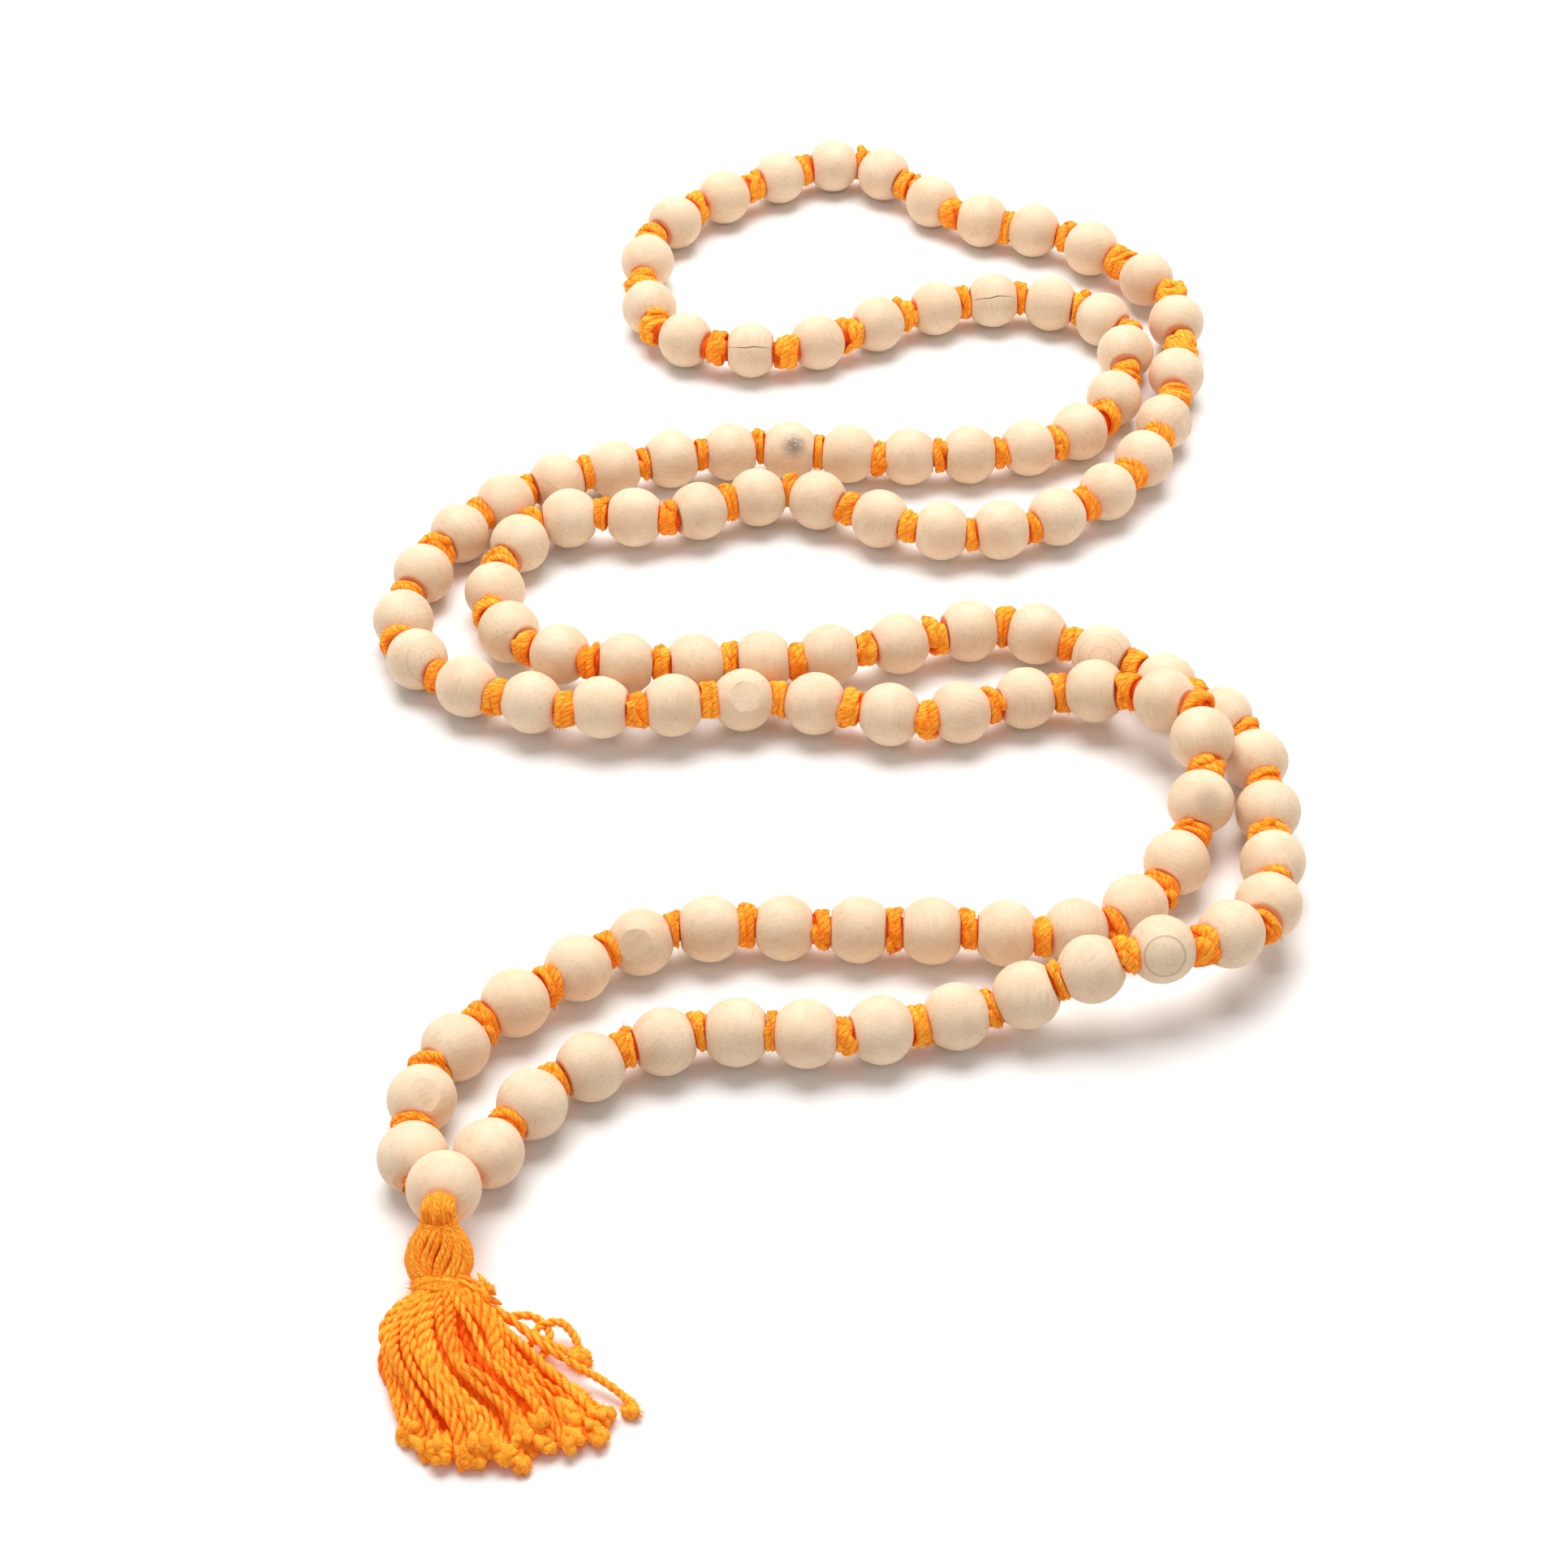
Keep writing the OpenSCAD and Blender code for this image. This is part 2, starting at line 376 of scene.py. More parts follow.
# %% Turn one bead on the Z axis
bead_fit, guru_fit = 0.996, 0.998
bead_lumps, guru_lumps = 0.018, 0.012
dish_rim = 0.25 * mm
edge_round = 0.3 * mm
close = 0.01 * mm


def pick(obj, kind, test):
    bpy.ops.mesh.select_all(action="DESELECT")
    bpy.ops.mesh.select_mode(type=kind)
    bpy.ops.object.mode_set(mode="OBJECT")
    for part in {"EDGE": obj.data.edges, "FACE": obj.data.polygons}[kind]:
        part.select = bool(test(part))
    bpy.ops.object.mode_set(mode="EDIT")


def turn_bead(name, radius, half, hole, dish, lumps, seed):
    deselect()
    bpy.ops.mesh.primitive_uv_sphere_add(segments=40, ring_count=22, radius=radius)
    bead = bpy.context.object
    bead.name = name
    bpy.ops.object.mode_set(mode="EDIT")
    for side in (1, -1):
        bpy.ops.mesh.select_all(action="SELECT")
        bpy.ops.mesh.bisect(
            plane_co=(0, 0, side * half),
            plane_no=(0, 0, side),
            use_fill=True,
            clear_outer=True,
        )

    def is_cap(face):
        return abs(face.normal.z) > 0.999 and len(face.vertices) > 8

    rim = math.sqrt(radius**2 - half**2)
    if dish:
        pick(bead, "FACE", is_cap)
        bpy.ops.mesh.inset(thickness=dish_rim, depth=-dish)
        rim -= dish_rim
    pick(bead, "FACE", is_cap)
    bpy.ops.mesh.inset(thickness=rim - hole)
    pick(bead, "FACE", is_cap)
    bpy.ops.mesh.bridge_edge_loops()

    def on_rim(edge):
        one, other = (bead.data.vertices[v].co for v in edge.vertices)
        at_end = min(abs(one.z), abs(other.z)) > half - 2 * dish - close
        level = abs(one.z - other.z) < close
        return at_end and level and abs(one.xy.length - other.xy.length) < 5 * close

    pick(bead, "EDGE", on_rim)
    bpy.ops.mesh.bevel(offset=edge_round, segments=3)
    bpy.ops.mesh.select_all(action="SELECT")
    bpy.ops.mesh.normals_make_consistent(inside=False)
    bpy.ops.object.mode_set(mode="OBJECT")
    for vertex in bead.data.vertices:
        spot = vertex.co / mm
        bump = noise.noise(spot * 0.2 + Vector((seed * 7.3, 0, 0))) * lumps * 1.5
        bump += noise.noise(spot * 0.7 + Vector((0, seed * 3.1, 0))) * lumps * 0.35
        vertex.co *= 1 + bump
    bpy.ops.object.shade_smooth_by_angle(angle=math.radians(35))
    return bead


# How far the flat ends are cut, and how deep they are dished
ends = [(4.4, 0), (4.2, 0), (4.2, 0.12), (4.15, 0.2), (4.05, 0), (4.0, 0.1), (4.3, 0), (4.05, 0.25)]
bead_patterns = [
    turn_bead(f"bead_pattern_{n}", bead_fit * bead_r, half * mm, hole_r, dish * mm, bead_lumps, n)
    for n, (half, dish) in enumerate(ends)
]
print("faces in a bead:", len(bead_patterns[0].data.polygons))

# %% [markdown]
# ## Where each bead differs
# Real beads aren't alike. The rings of the tree show on some, two have a drying crack, two are
# smudged, and a few have a flat that the sander left. These are noted here by bead number, so
# that the copies can take them on.

# %% The odd ones out
# Which way each flat or crack faces
flat_beads = {
    2: (0.2, -0.5, 0.85),
    6: (-0.1, -0.75, 0.62),
    23: (0.15, -0.62, 0.77),
    67: (0.9, -0.3, 0.3),
}
crack_beads = {47: (0.02, 0.97, 0.0), 51: (0.1, 0.95, 0.3)}
# How strong the rings or the smudge are, and which pattern a dished bead takes. The rings of
# one bead face the viewer.
rings_facing = 98
ringed_beads = {rings_facing: 1.5, 90: 0.6, 28: 0.6, 12: 0.3, 33: 0.3, 44: 0.3, 81: 0.4, 67: 0.4}
smudged_beads = {37: 1.0, 15: 0.35}
dished_beads = {44: 7, 65: 3, 81: 7, 96: 5, 107: 7}
usual_patterns = [0, 1, 1, 2, 4, 4, 5, 6]
to_camera = camera.location.normalized()
rng = random.Random(108)

# %% Copy the beads along the strand


def placed(pattern, name, centre, axis, turn, size=1.0):
    bead = pattern.copy()
    bead.data = pattern.data.copy()
    bead.name = bead.data.name = name
    bpy.context.scene.collection.objects.link(bead)
    lean = Vector((0, 0, 1)).rotation_difference(axis).to_matrix().to_4x4()
    spin = Matrix.Rotation(turn, 4, "Z") @ Matrix.Scale(size, 4)
    bead.data.transform(Matrix.Translation(centre) @ lean @ spin)
    return bead


def cut_flat(bead, centre, direction, depth):
    deselect()
    bead.select_set(True)
    bpy.context.view_layer.objects.active = bead
    bpy.ops.object.mode_set(mode="EDIT")
    bpy.ops.mesh.select_all(action="SELECT")
    way = Vector(direction).normalized()
    bpy.ops.mesh.bisect(plane_co=centre + way * depth, plane_no=way, use_fill=True, clear_outer=True)
    bpy.ops.mesh.bevel(offset=0.12 * mm, segments=2)
    bpy.ops.object.mode_set(mode="OBJECT")


def split_open(bead, centre, across, size):
    """Cuts a curved drying crack, wide in its middle and closed at its ends."""
    deselect()
    away = to_camera
    side = Vector(across).normalized()
    side = (side - away * side.dot(away)).normalized()
    along = side.cross(away)
    steps = 10
    corners = []
    for depth in (size * 0.5, size * 1.04):
        for flank in (-1, 1):
            for n in range(steps + 1):
                t = n / steps * 2 - 1
                bow = 0.3 * mm * math.sin(2.4 * t) + 0.07 * mm * math.sin(9 * t)
                gape = flank * (0.08 * mm * (1 - t * t) + 0.004 * mm)
                spot = along * (t * 0.78 * size) + side * (bow + gape) + away * depth * 0.97
                corners.append(centre + spot)
    # Four rows of corners: the two flanks deep in the bead, then the two flanks outside it
    row_starts = [k * (steps + 1) for k in range(4)]
    faces = []
    for n in range(steps):
        a, b, c, d = (start + n for start in row_starts)
        faces += [(a, a + 1, b + 1, b), (c, d, d + 1, c + 1)]
        faces += [(a, c, c + 1, a + 1), (b, b + 1, d + 1, d)]
    a, b, c, d = row_starts
    faces += [(a, b, d, c), (a + steps, c + steps, d + steps, b + steps)]
    mesh = bpy.data.meshes.new("crack")
    mesh.from_pydata(corners, [], faces)
    cutter = bpy.data.objects.new("crack", mesh)
    bpy.context.scene.collection.objects.link(cutter)
    cutter.select_set(True)
    bpy.context.view_layer.objects.active = cutter
    bpy.ops.object.mode_set(mode="EDIT")
    bpy.ops.mesh.select_all(action="SELECT")
    bpy.ops.mesh.normals_make_consistent(inside=False)
    bpy.ops.object.mode_set(mode="OBJECT")
    deselect()
    bead.select_set(True)
    bpy.context.view_layer.objects.active = bead
    boolean = bead.modifiers.new("crack", "BOOLEAN")
    boolean.operation = "DIFFERENCE"
    boolean.solver = "EXACT"
    boolean.object = cutter
    bpy.ops.object.modifier_apply(modifier=boolean.name)
    bpy.data.objects.remove(cutter)


def mark_wood(bead, centre, axis, number, chance):
    """Stores the bead's own grain direction, how smudged or ringed it is, and the painted orange
    bounce light round its holes.
    """
    spots = np.array([vertex.co for vertex in bead.data.vertices]) - np.array(centre)
    spots /= mm
    if number in smudged_beads:
        fibre, pith = Vector((0.75, 0.3, -0.5)).normalized(), 20
    elif number in ringed_beads:
        lean = 0.1 if number == rings_facing else 0.8
        aside = Vector((chance.uniform(-1, 1), 0, chance.uniform(-1, 1)))
        fibre = (to_camera + lean * aside).normalized()
        pith = 0.3
    else:
        fibre = Vector([chance.gauss(0, 1) for _ in range(3)]).normalized()
        pith = chance.uniform(9, 30)
    turn = np.array(Vector((1, 0, 0)).rotation_difference(fibre).to_matrix())
    grain = spots @ turn + np.array([number * 31.7 % 97, pith, 0.4])
    if number == rings_facing:
        grain *= (1, 0.62, 0.62)
    grain_layer = bead.data.attributes.new("grain", "FLOAT_VECTOR", "POINT")
    grain_layer.data.foreach_set("vector", grain.ravel())
    axis = np.array(axis)
    along = np.abs(spots @ axis)
    across = np.linalg.norm(spots - np.outer(spots @ axis, axis), axis=1)
    # On the flat ends round the hole the wood is painted orange, as painted bounce light from the
    # yarn.
    painted_bounce = np.clip((along - 3.3) / 0.6, 0, 1) * np.clip((2.7 - across) / 1.0, 0, 1)
    smudge = np.zeros(len(spots))
    if number in smudged_beads:
        middle = np.array(to_camera) * 5 + np.array((0.9, 0, 0.8))
        smudge = np.clip(1.3 - np.linalg.norm(spots - middle, axis=1) / 2.3, 0, 1)
        smudge *= smudged_beads[number]
    marks_and_bounce = np.column_stack([painted_bounce, smudge, np.full(len(spots), ringed_beads.get(number, 0.0))])
    marks_layer = bead.data.attributes.new("marks_and_bounce", "FLOAT_VECTOR", "POINT")
    marks_layer.data.foreach_set("vector", marks_and_bounce.ravel())
    tone_layer = bead.data.attributes.new("tone", "FLOAT", "POINT")
    tone_layer.data.foreach_set("value", np.full(len(spots), chance.uniform(0, 1)))


beads = {}
bead_end = {}
for i in range(1, bead_count + 1):
    pattern_number = dished_beads.get(i, rng.choice(usual_patterns))
    pattern = bead_patterns[pattern_number]
    size = rng.uniform(0.975, 1.0)
    centre = bead_at(i) - Vector((0, 0, (1 - size) * bead_r))
    if i in dished_beads:
        size = 1.0
        centre = bead_at(i)
    half = ends[pattern_number][0] * mm * size
    bead_end[i] = (centre, bead_way(i), size * bead_r * bead_fit, half)
    turn = rng.uniform(0, 6.28)
    bead = placed(pattern, f"bead_{i:03d}_wood", centre, bead_way(i), turn, size)
    if i in flat_beads:
        cut_flat(bead, centre, flat_beads[i], 4.2 * mm)
    if i in crack_beads:
        split_open(bead, centre, crack_beads[i], bead_r)
    mark_wood(bead, centre, bead_way(i), i, rng)
    beads[i] = bead
print("beads placed:", len(beads))

# %% The guru bead
guru_low, guru_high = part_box("guru_bead")
guru_centre = (Vector(guru_low) + Vector(guru_high)) / 2
guru_tip = math.radians(25)
guru_axis = Vector((0, -math.cos(guru_tip), math.sin(guru_tip)))
guru_r = (guru_high[0] - guru_low[0]) / 2
guru_half = 4.65 * mm
guru_pattern = turn_bead("guru_pattern", guru_fit * guru_r, guru_half, hole_r, 0.0, guru_lumps, 20)
guru = placed(guru_pattern, "guru_bead_wood", guru_centre, guru_axis, 1.0)
mark_wood(guru, guru_centre, guru_axis, 0, rng)
bpy.data.objects.remove(guru_pattern)
for pattern in bead_patterns:
    bpy.data.objects.remove(pattern)
print("guru bead at", [round(c, 4) for c in guru_centre], "radius", round(guru_r, 5))

# %% Beads ride with their own bodies
for i, bead in beads.items():
    own = f"bead_{i:03d}"
    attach(bead, body_of(i))
    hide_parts(own if own in frame["nodes"] else f"beads_{stretch_of(i)}")
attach(guru, "guru")
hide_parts("guru_bead")

# %% [markdown]
# ## The knots
# Between two beads the yarn is tied in an overhand knot. It is a bundle of loose strands, so a
# knot shows as a flat band of strands that runs round the string at a slant, dives under, and
# crosses over itself once. The bands are wound on an imagined cylinder, whose height is the gap
# between the beads, and are then pushed into the real gap, against the round faces of its own
# two beads. Each knot is wound to the nearest of four heights, in one of six ways, and then
# takes its own turn, flip and girth.

# %% Wind one knot
strand_r = 0.6 * mm
strand_pitch = 1.6 * strand_r
knot_r = 2.75 * mm


def band(turns, slant, height, strands, start, lift, chance, flip):
    """Strands side by side round a barrel: their angle, height and radius along each one."""
    s = np.linspace(0, 1, max(12, int(turns * 30)))
    angle = start + flip * turns * 2 * math.pi * s
    run = np.array([turns * 2 * math.pi * knot_r, slant])
    run /= np.linalg.norm(run)
    room = height / 2 - 0.8 * strand_r
    out = []
    for n in range(strands):
        across = (n - (strands - 1) / 2) * strand_pitch
        across = across + 0.26 * mm * np.sin(s * chance.uniform(6, 12) + chance.uniform(0, 6))
        a = angle - flip * run[1] * across / knot_r
        h = (s - 0.5) * slant + run[0] * across
        h = room * np.tanh(h / room)
        bulge = 0.13 * (height - 1.6 * mm) * (2 * h / height) ** 2
        wave = 0.1 * mm * np.sin(2 * a + start) + 0.08 * mm * np.sin(s * 17 + n * 2)
        r = knot_r - strand_r + lift(s) - bulge + wave + 0.06 * mm * chance.gauss(0, 1)
        dip = np.clip(np.minimum(s, 1 - s) / 0.09, 0, 1)
        out.append((a, h, r * (0.5 + 0.5 * dip * (2 - dip))))
    return out


def step_up(place):
    return lambda s: 0.5 * mm * (np.clip((s - place) / 0.14, 0, 1) - 0.5)


def wind_knot(height, seed):
    chance = random.Random(seed)
    skein = Skein()
    strands = max(2, round((height - 0.7 * mm) / strand_pitch))
    flip = chance.choice((-1, 1))
    start = chance.uniform(0, 6.28)
    slant = chance.uniform(0.3, 0.9) * height
    bands = band(1.3, slant, height, strands, start, step_up(0.45), chance, flip)
    slant = 1.1 * height * chance.choice((-1, 1))
    over = start + chance.uniform(0, 6.28)
    bands += band(0.4, slant, height, max(1, strands - 2), over, lambda s: 0.42 * mm, chance, flip)
    bands = [np.column_stack([r * np.cos(a), r * np.sin(a), h]) for a, h, r in bands]
    # The core inside the knot is painted darkest, as painted shade between the strands.
    core = np.column_stack([np.zeros(6), np.zeros(6), np.linspace(-height / 2, height / 2, 6)])
    skein.thread(core, knot_r - 1.7 * strand_r, around=12, tone=0.0)
    for path in bands:
        girth = strand_r * chance.uniform(0.8, 1.1)
        girth *= 1 + 0.14 * np.sin(np.arange(len(path)) * 0.7 + chance.uniform(0, 6))
        # Each strand is painted darker on the side that faces the core, as painted shade.
        away = path * (1, 1, 0)
        skein.thread(path, girth, around=8, tone=chance.uniform(0.5, 1.0), away=away)
    for _ in range(90):
        path = chance.choice(bands)
        root = path[chance.randrange(2, len(path) - 2)]
        out = np.array((root[0], root[1], 0)) / knot_r
        way = out * 0.7 + np.array([chance.gauss(0, 0.7) for _ in range(3)])
        add_hair(skein, root + out * strand_r * 0.8, way, chance.uniform(0.3, 1.0) * mm, chance, 0.8)
    return skein


# %% Fit a knot into the gap between its beads
knot_heights = [2.2 * mm, 3.0 * mm, 3.9 * mm, 4.9 * mm]
knot_patterns = [(h, seed) for h in knot_heights for seed in range(6)]


def reach(spots, way, bead, side):
    """How far each spot is from the bead's surface, going along way."""
    centre, axis, radius, half = (np.array(v) if isinstance(v, Vector) else v for v in bead)
    to_bead = centre - spots
    ahead = to_bead @ way
    off2 = np.sum(to_bead**2, axis=1) - ahead**2
    ball = ahead - np.sqrt(np.maximum(radius**2 - off2, 0))
    end_face = (centre - side * half * axis - spots) @ axis / (way @ axis)
    return np.maximum(ball, end_face)


def tie_knot(i, chance):
    before, after = bead_end[i], bead_end[i + 1]
    a, b = np.array(before[0]), np.array(after[0])
    way = (b - a) / np.linalg.norm(b - a)
    middle = (a + b) / 2
    knot = np.array(knot_at(i))
    place = knot - way * ((knot - middle) @ way)
    gap = np.linalg.norm(b - a) - 2 * math.sqrt(bead_r**2 - (0.8 * knot_r) ** 2)
    deepest = gap / 2 + 0.8 * mm
    height, seed = min(knot_patterns, key=lambda p: abs(p[0] - gap) + chance.random() * 0.3 * mm)
    skein = wind_knot(height, seed * 17 + round(height * 1e4))
    side = np.cross(way, (0, 0, 1))
    side /= np.linalg.norm(side)
    up = np.cross(side, way)
    turn = chance.uniform(0, 2 * math.pi)
    girth = chance.uniform(0.95, 1.1)
    flip = chance.choice((-1, 1))

    def push_in(spots):
        angle = np.arctan2(spots[:, 1], spots[:, 0]) * flip + turn
        radius = np.hypot(spots[:, 0], spots[:, 1]) * girth
        share = 2 * spots[:, 2] / height * flip
        level = place + np.outer(radius * np.cos(angle), side) + np.outer(radius * np.sin(angle), up)
        ahead = np.minimum(reach(level, way, after, 1), deepest)
        behind = np.minimum(reach(level, -way, before, -1), deepest)
        return level + np.outer((share * (ahead + behind) + ahead - behind) / 2, way)

    skein.bend(push_in)
    return skein.piece(f"knot_{i:03d}"), way, gap


knots = {}
for i in range(1, bead_count):
    knot, way, gap = tie_knot(i, rng)
    knots[i] = knot
    mates = [pair for pair in folds if i in pair]
    a, b = stretch_of(i), stretch_of(i + 1)
    if mates:
        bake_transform(knot)
        outer = min(a, b, key=stretches.index)
        holder = max(stretches.index(outer), 1)
        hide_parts(f"knots_{stretches[holder]}")
    else:
        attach(knot, a)
        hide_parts(f"knots_{a}")
print("knots tied:", len(knots), "faces in the last:", len(knot.data.polygons))

# %% [markdown]
# ## The tassel
# The two ends of the string leave the guru bead together and are tied in a neck knot. Yarn
# hangs from it, gathered into a round head and tied at the waist. Below the waist it is a
# skirt of two-ply strands, cut at the bottom, where each end opens into fluff. The strands are
# laid one by one between a few guide lines, in three layers, so that they fan, cross and leave
# gaps as real ones do.

# %% Twist two plies into one strand
ply_r = 0.38 * mm
ply_pitch = 2.9 * mm
ply_apart = 0.62
strand_step = 0.26 * mm
untwist = 2.4 * mm


def twist_strand(skein, path, chance, scale=1.0, hairs=22, tuft=True, tone=None):
    path = np.asarray(path, float)
    length = np.linalg.norm(np.diff(path, axis=0), axis=1).sum()
    n = max(10, int(length / strand_step))
    path = smooth_path(path, n)
    ways, sides, ups = ring_frames(path)
    along = np.linspace(0, length, n)
    phase = chance.uniform(0, 6.28)
    tone = chance.uniform(0.3, 1.0) if tone is None else tone
    pitch = ply_pitch * chance.uniform(0.85, 1.25)
    loose = 1 + 0.5 * tuft * np.clip((along - length + untwist) / untwist, 0, 1) ** 2
    # Each ply is painted darker on the side that faces the other ply, as painted shade.
    for ply in (0, math.pi):
        angle = along / pitch * 2 * math.pi + phase + ply
        offset = sides * np.cos(angle)[:, None] + ups * np.sin(angle)[:, None]
        swell = 1 + 0.12 * np.sin(along / mm * chance.uniform(1.2, 2.6) + phase + ply)
        skein.thread(
            path + offset * (ply_r * ply_apart * scale * loose)[:, None],
            ply_r * scale * swell * loose,
            around=6,
            tone=tone,
            away=offset,
        )
    for _ in range(hairs):
        k = chance.randrange(1, n - 1)
        out = sides[k] * chance.gauss(0, 1) + ups[k] * chance.gauss(0, 1)
        out /= np.linalg.norm(out)
        root, way = path[k] + out * ply_r * 1.4, out + ways[k] * 0.8
        add_hair(skein, root, way, chance.uniform(0.4, 1.1) * mm, chance, 0.8)
    if tuft:
        open_end(skein, path[-1], ways[-1], chance)


def lay_single(skein, path, radius, chance, hairs=14, tone=None, middle=None):
    """One soft strand without plies, a little lumpy, with its own down."""
    path = smooth_path(path, 30)
    # With a middle, the side of the strand that faces it is painted darker, as painted shade.
    away = None if middle is None else path - np.asarray(middle)
    lumps = 1 + 0.12 * np.sin(np.arange(30) * chance.uniform(0.5, 1.1) + chance.uniform(0, 6))
    tone = chance.uniform(0.5, 1.0) if tone is None else tone
    skein.thread(path, radius * lumps, around=8, tone=tone, away=away)
    for _ in range(hairs):
        root = path[chance.randrange(1, 29)]
        out = np.array([chance.gauss(0, 1) for _ in range(3)])
        out /= np.linalg.norm(out)
        add_hair(skein, root + out * radius * 0.8, out, chance.uniform(0.4, 1.1) * mm, chance)


puff_shape = np.array([0.2, 0.42, 0.6, 0.76, 0.82, 0.66, 0.26])


def open_end(skein, spot, way, chance, width=1.0):
    """The cut end of a strand, untwisted into a puff of fluff."""
    spot, way = np.asarray(spot, float), np.asarray(way, float)
    way = way / np.linalg.norm(way)
    for _ in range(int(7 * width)):
        lean = way + np.array([chance.gauss(0, 0.3) for _ in range(3)])
        beside = np.array([chance.gauss(0, 0.36) for _ in range(3)]) * width * mm
        run = spot + beside + lean * np.linspace(-1.3, chance.uniform(0.3, 1.1), 7)[:, None] * mm
        girth = puff_shape * width * mm
        girth *= np.array([chance.uniform(0.7, 1.1) for _ in range(7)])
        skein.thread(run, girth, around=8, tone=chance.uniform(0.5, 0.85))
    for _ in range(int(120 * width)):
        out = way * chance.uniform(-0.2, 1.1) + np.array([chance.gauss(0, 0.7) for _ in range(3)])
        out /= np.linalg.norm(out)
        root = spot + way * chance.uniform(-0.9, 0.5) * mm + out * 0.85 * width * mm
        add_hair(skein, root, out, chance.uniform(0.3, 0.8) * mm, chance, chance.uniform(0.8, 1.5))


# %% Guide lines for the skirt, in millimetres
waist = (Vector(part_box("tassel_tie")[0]) + Vector(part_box("tassel_tie")[1])) / 2
print("waist at", [round(c, 4) for c in waist])
guides = np.array([
    [
        (-52.6, -119.6, 5.6), (-56.0, -121.3, 4.8), (-57.9, -124.0, 3.6), (-57.5, -127.6, 3.0),
        (-56.0, -131.4, 2.4), (-54.4, -136.0, 2.0), (-52.6, -140.0, 1.6),
    ],
    [
        (-51.9, -119.6, 6.4), (-54.4, -122.8, 6.2), (-55.4, -126.5, 5.6), (-54.7, -130.1, 5.0),
        (-53.0, -134.0, 4.2), (-50.6, -138.0, 3.2), (-48.4, -142.0, 1.8),
    ],
    [
        (-51.2, -119.6, 6.8), (-52.6, -123.2, 6.8), (-53.0, -127.4, 6.3), (-51.6, -131.3, 5.6),
        (-49.0, -135.0, 4.6), (-46.0, -138.5, 3.4), (-44.4, -142.6, 1.8),
    ],
    [
        (-50.6, -119.6, 7.0), (-51.0, -123.4, 7.0), (-50.8, -127.3, 6.6), (-49.0, -131.0, 5.8),
        (-45.8, -134.4, 4.8), (-42.4, -137.6, 3.5), (-40.6, -142.0, 1.8),
    ],
    [
        (-50.0, -119.6, 7.0), (-49.0, -123.4, 7.0), (-48.0, -127.0, 6.5), (-46.2, -130.4, 5.8),
        (-43.0, -133.6, 4.8), (-39.6, -136.6, 3.4), (-37.6, -141.0, 1.8),
    ],
    [
        (-49.4, -119.6, 6.6), (-47.0, -122.8, 6.6), (-45.0, -126.4, 6.0), (-43.2, -129.6, 5.4),
        (-40.6, -132.4, 4.6), (-37.0, -135.4, 3.2), (-34.0, -139.6, 1.8),
    ],
    [
        (-48.8, -119.6, 6.0), (-45.4, -122.2, 6.0), (-42.6, -125.6, 5.4), (-40.4, -128.8, 4.6),
        (-37.6, -131.6, 3.8), (-34.2, -134.4, 2.8), (-30.4, -138.0, 1.6),
    ],
    [
        (-48.4, -119.6, 5.4), (-44.6, -121.6, 5.0), (-41.6, -124.4, 4.4), (-38.8, -127.0, 3.8),
        (-35.6, -129.6, 3.0), (-32.0, -132.2, 2.2), (-28.4, -135.0, 1.4),
    ],
]) * mm
layer_sag = np.array([1, 0.93, 0.86, 0.8, 0.78, 0.78, 0.8])
layer_drop = 0.9 * mm * np.array([0.9, 1, 1, 1, 0.8, 0.5, 0.2])
clumping = np.array([0, 0, 0.3, 0.6, 0.7, 0.5, 0.2])
lowest = 0.62 * mm
# The small hollow that the upper two layers part round
hollow = np.array((-45.9, -126.8)) * mm
hollow_r = 1.5 * mm


def strand_between(share, layer, chance, cut):
    """A strand at a share of the way across the fan: 0 at its left edge, 1 at its right."""
    spot = share * (len(guides) - 1)
    n = min(int(spot), len(guides) - 2)
    f = spot - n
    path = guides[n] * (1 - f) + guides[n + 1] * f
    path[:, 2] = np.maximum(path[:, 2] * layer_sag**layer - layer * layer_drop, lowest)
    wander = np.array([[chance.gauss(0, spread) for spread in (0.22, 0.2, 0.25)] for _ in range(7)])
    wander[:, 0] += math.sin(share * 29 + layer * 2) * clumping
    path[2:] += wander[2:] * mm
    path[1:-1, 2] += chance.uniform(-0.5, 0.5) * mm
    path[2:, 2] = np.maximum(path[2:, 2], lowest)
    if layer < 2:
        away = path[:, :2] - hollow
        apart = np.linalg.norm(away / (1.0, 2.2), axis=1)
        path[:, :2] += away * (1.3 * np.exp(-((apart / hollow_r) ** 2)))[:, None]
    path[-1] += (path[-1] - path[-2]) * (cut - 1) * 2.2
    return path


# %% Lay the skirt, one piece to a layer
skirt_chance = random.Random(7)
layer_strands = [22, 19, 17]
strays = [
    [
        (-48.4, -120, 4.6), (-42.3, -122.3, 4.4), (-37.4, -126.4, 3.8), (-32.4, -129.4, 2.8),
        (-29.4, -130.8, 2), (-26.4, -132.9, 1.4), (-24.9, -134.6, 1),
    ],
    [
        (-48.6, -120, 4), (-43.4, -122.6, 3.8), (-40.9, -122.2, 3.6), (-38.4, -121.9, 3),
        (-36.5, -123.3, 2.4), (-36.2, -125.4, 2.2), (-37.2, -128.4, 2.6), (-38.2, -131, 3),
    ],
    [
        (-45, -121.5, 2), (-39.4, -126.1, 2), (-37.6, -123.5, 3), (-35, -122.6, 2.8),
        (-33.3, -123.7, 2), (-32.5, -125.3, 1.2), (-32.6, -126.6, 1),
    ],
    [
        (-48.2, -120, 4), (-43, -121.8, 3.6), (-38.6, -124.4, 3), (-35.5, -126, 2.4),
        (-33.2, -126.8, 1.8), (-31.9, -127.4, 1.4),
    ],
    [
        (-52.4, -119.8, 4), (-55.2, -122, 3), (-56.0, -125.2, 2.2), (-56.4, -129.4, 1.8),
        (-55.2, -134, 1.4), (-53.4, -138.6, 1.2),
    ],
]
skirts = []
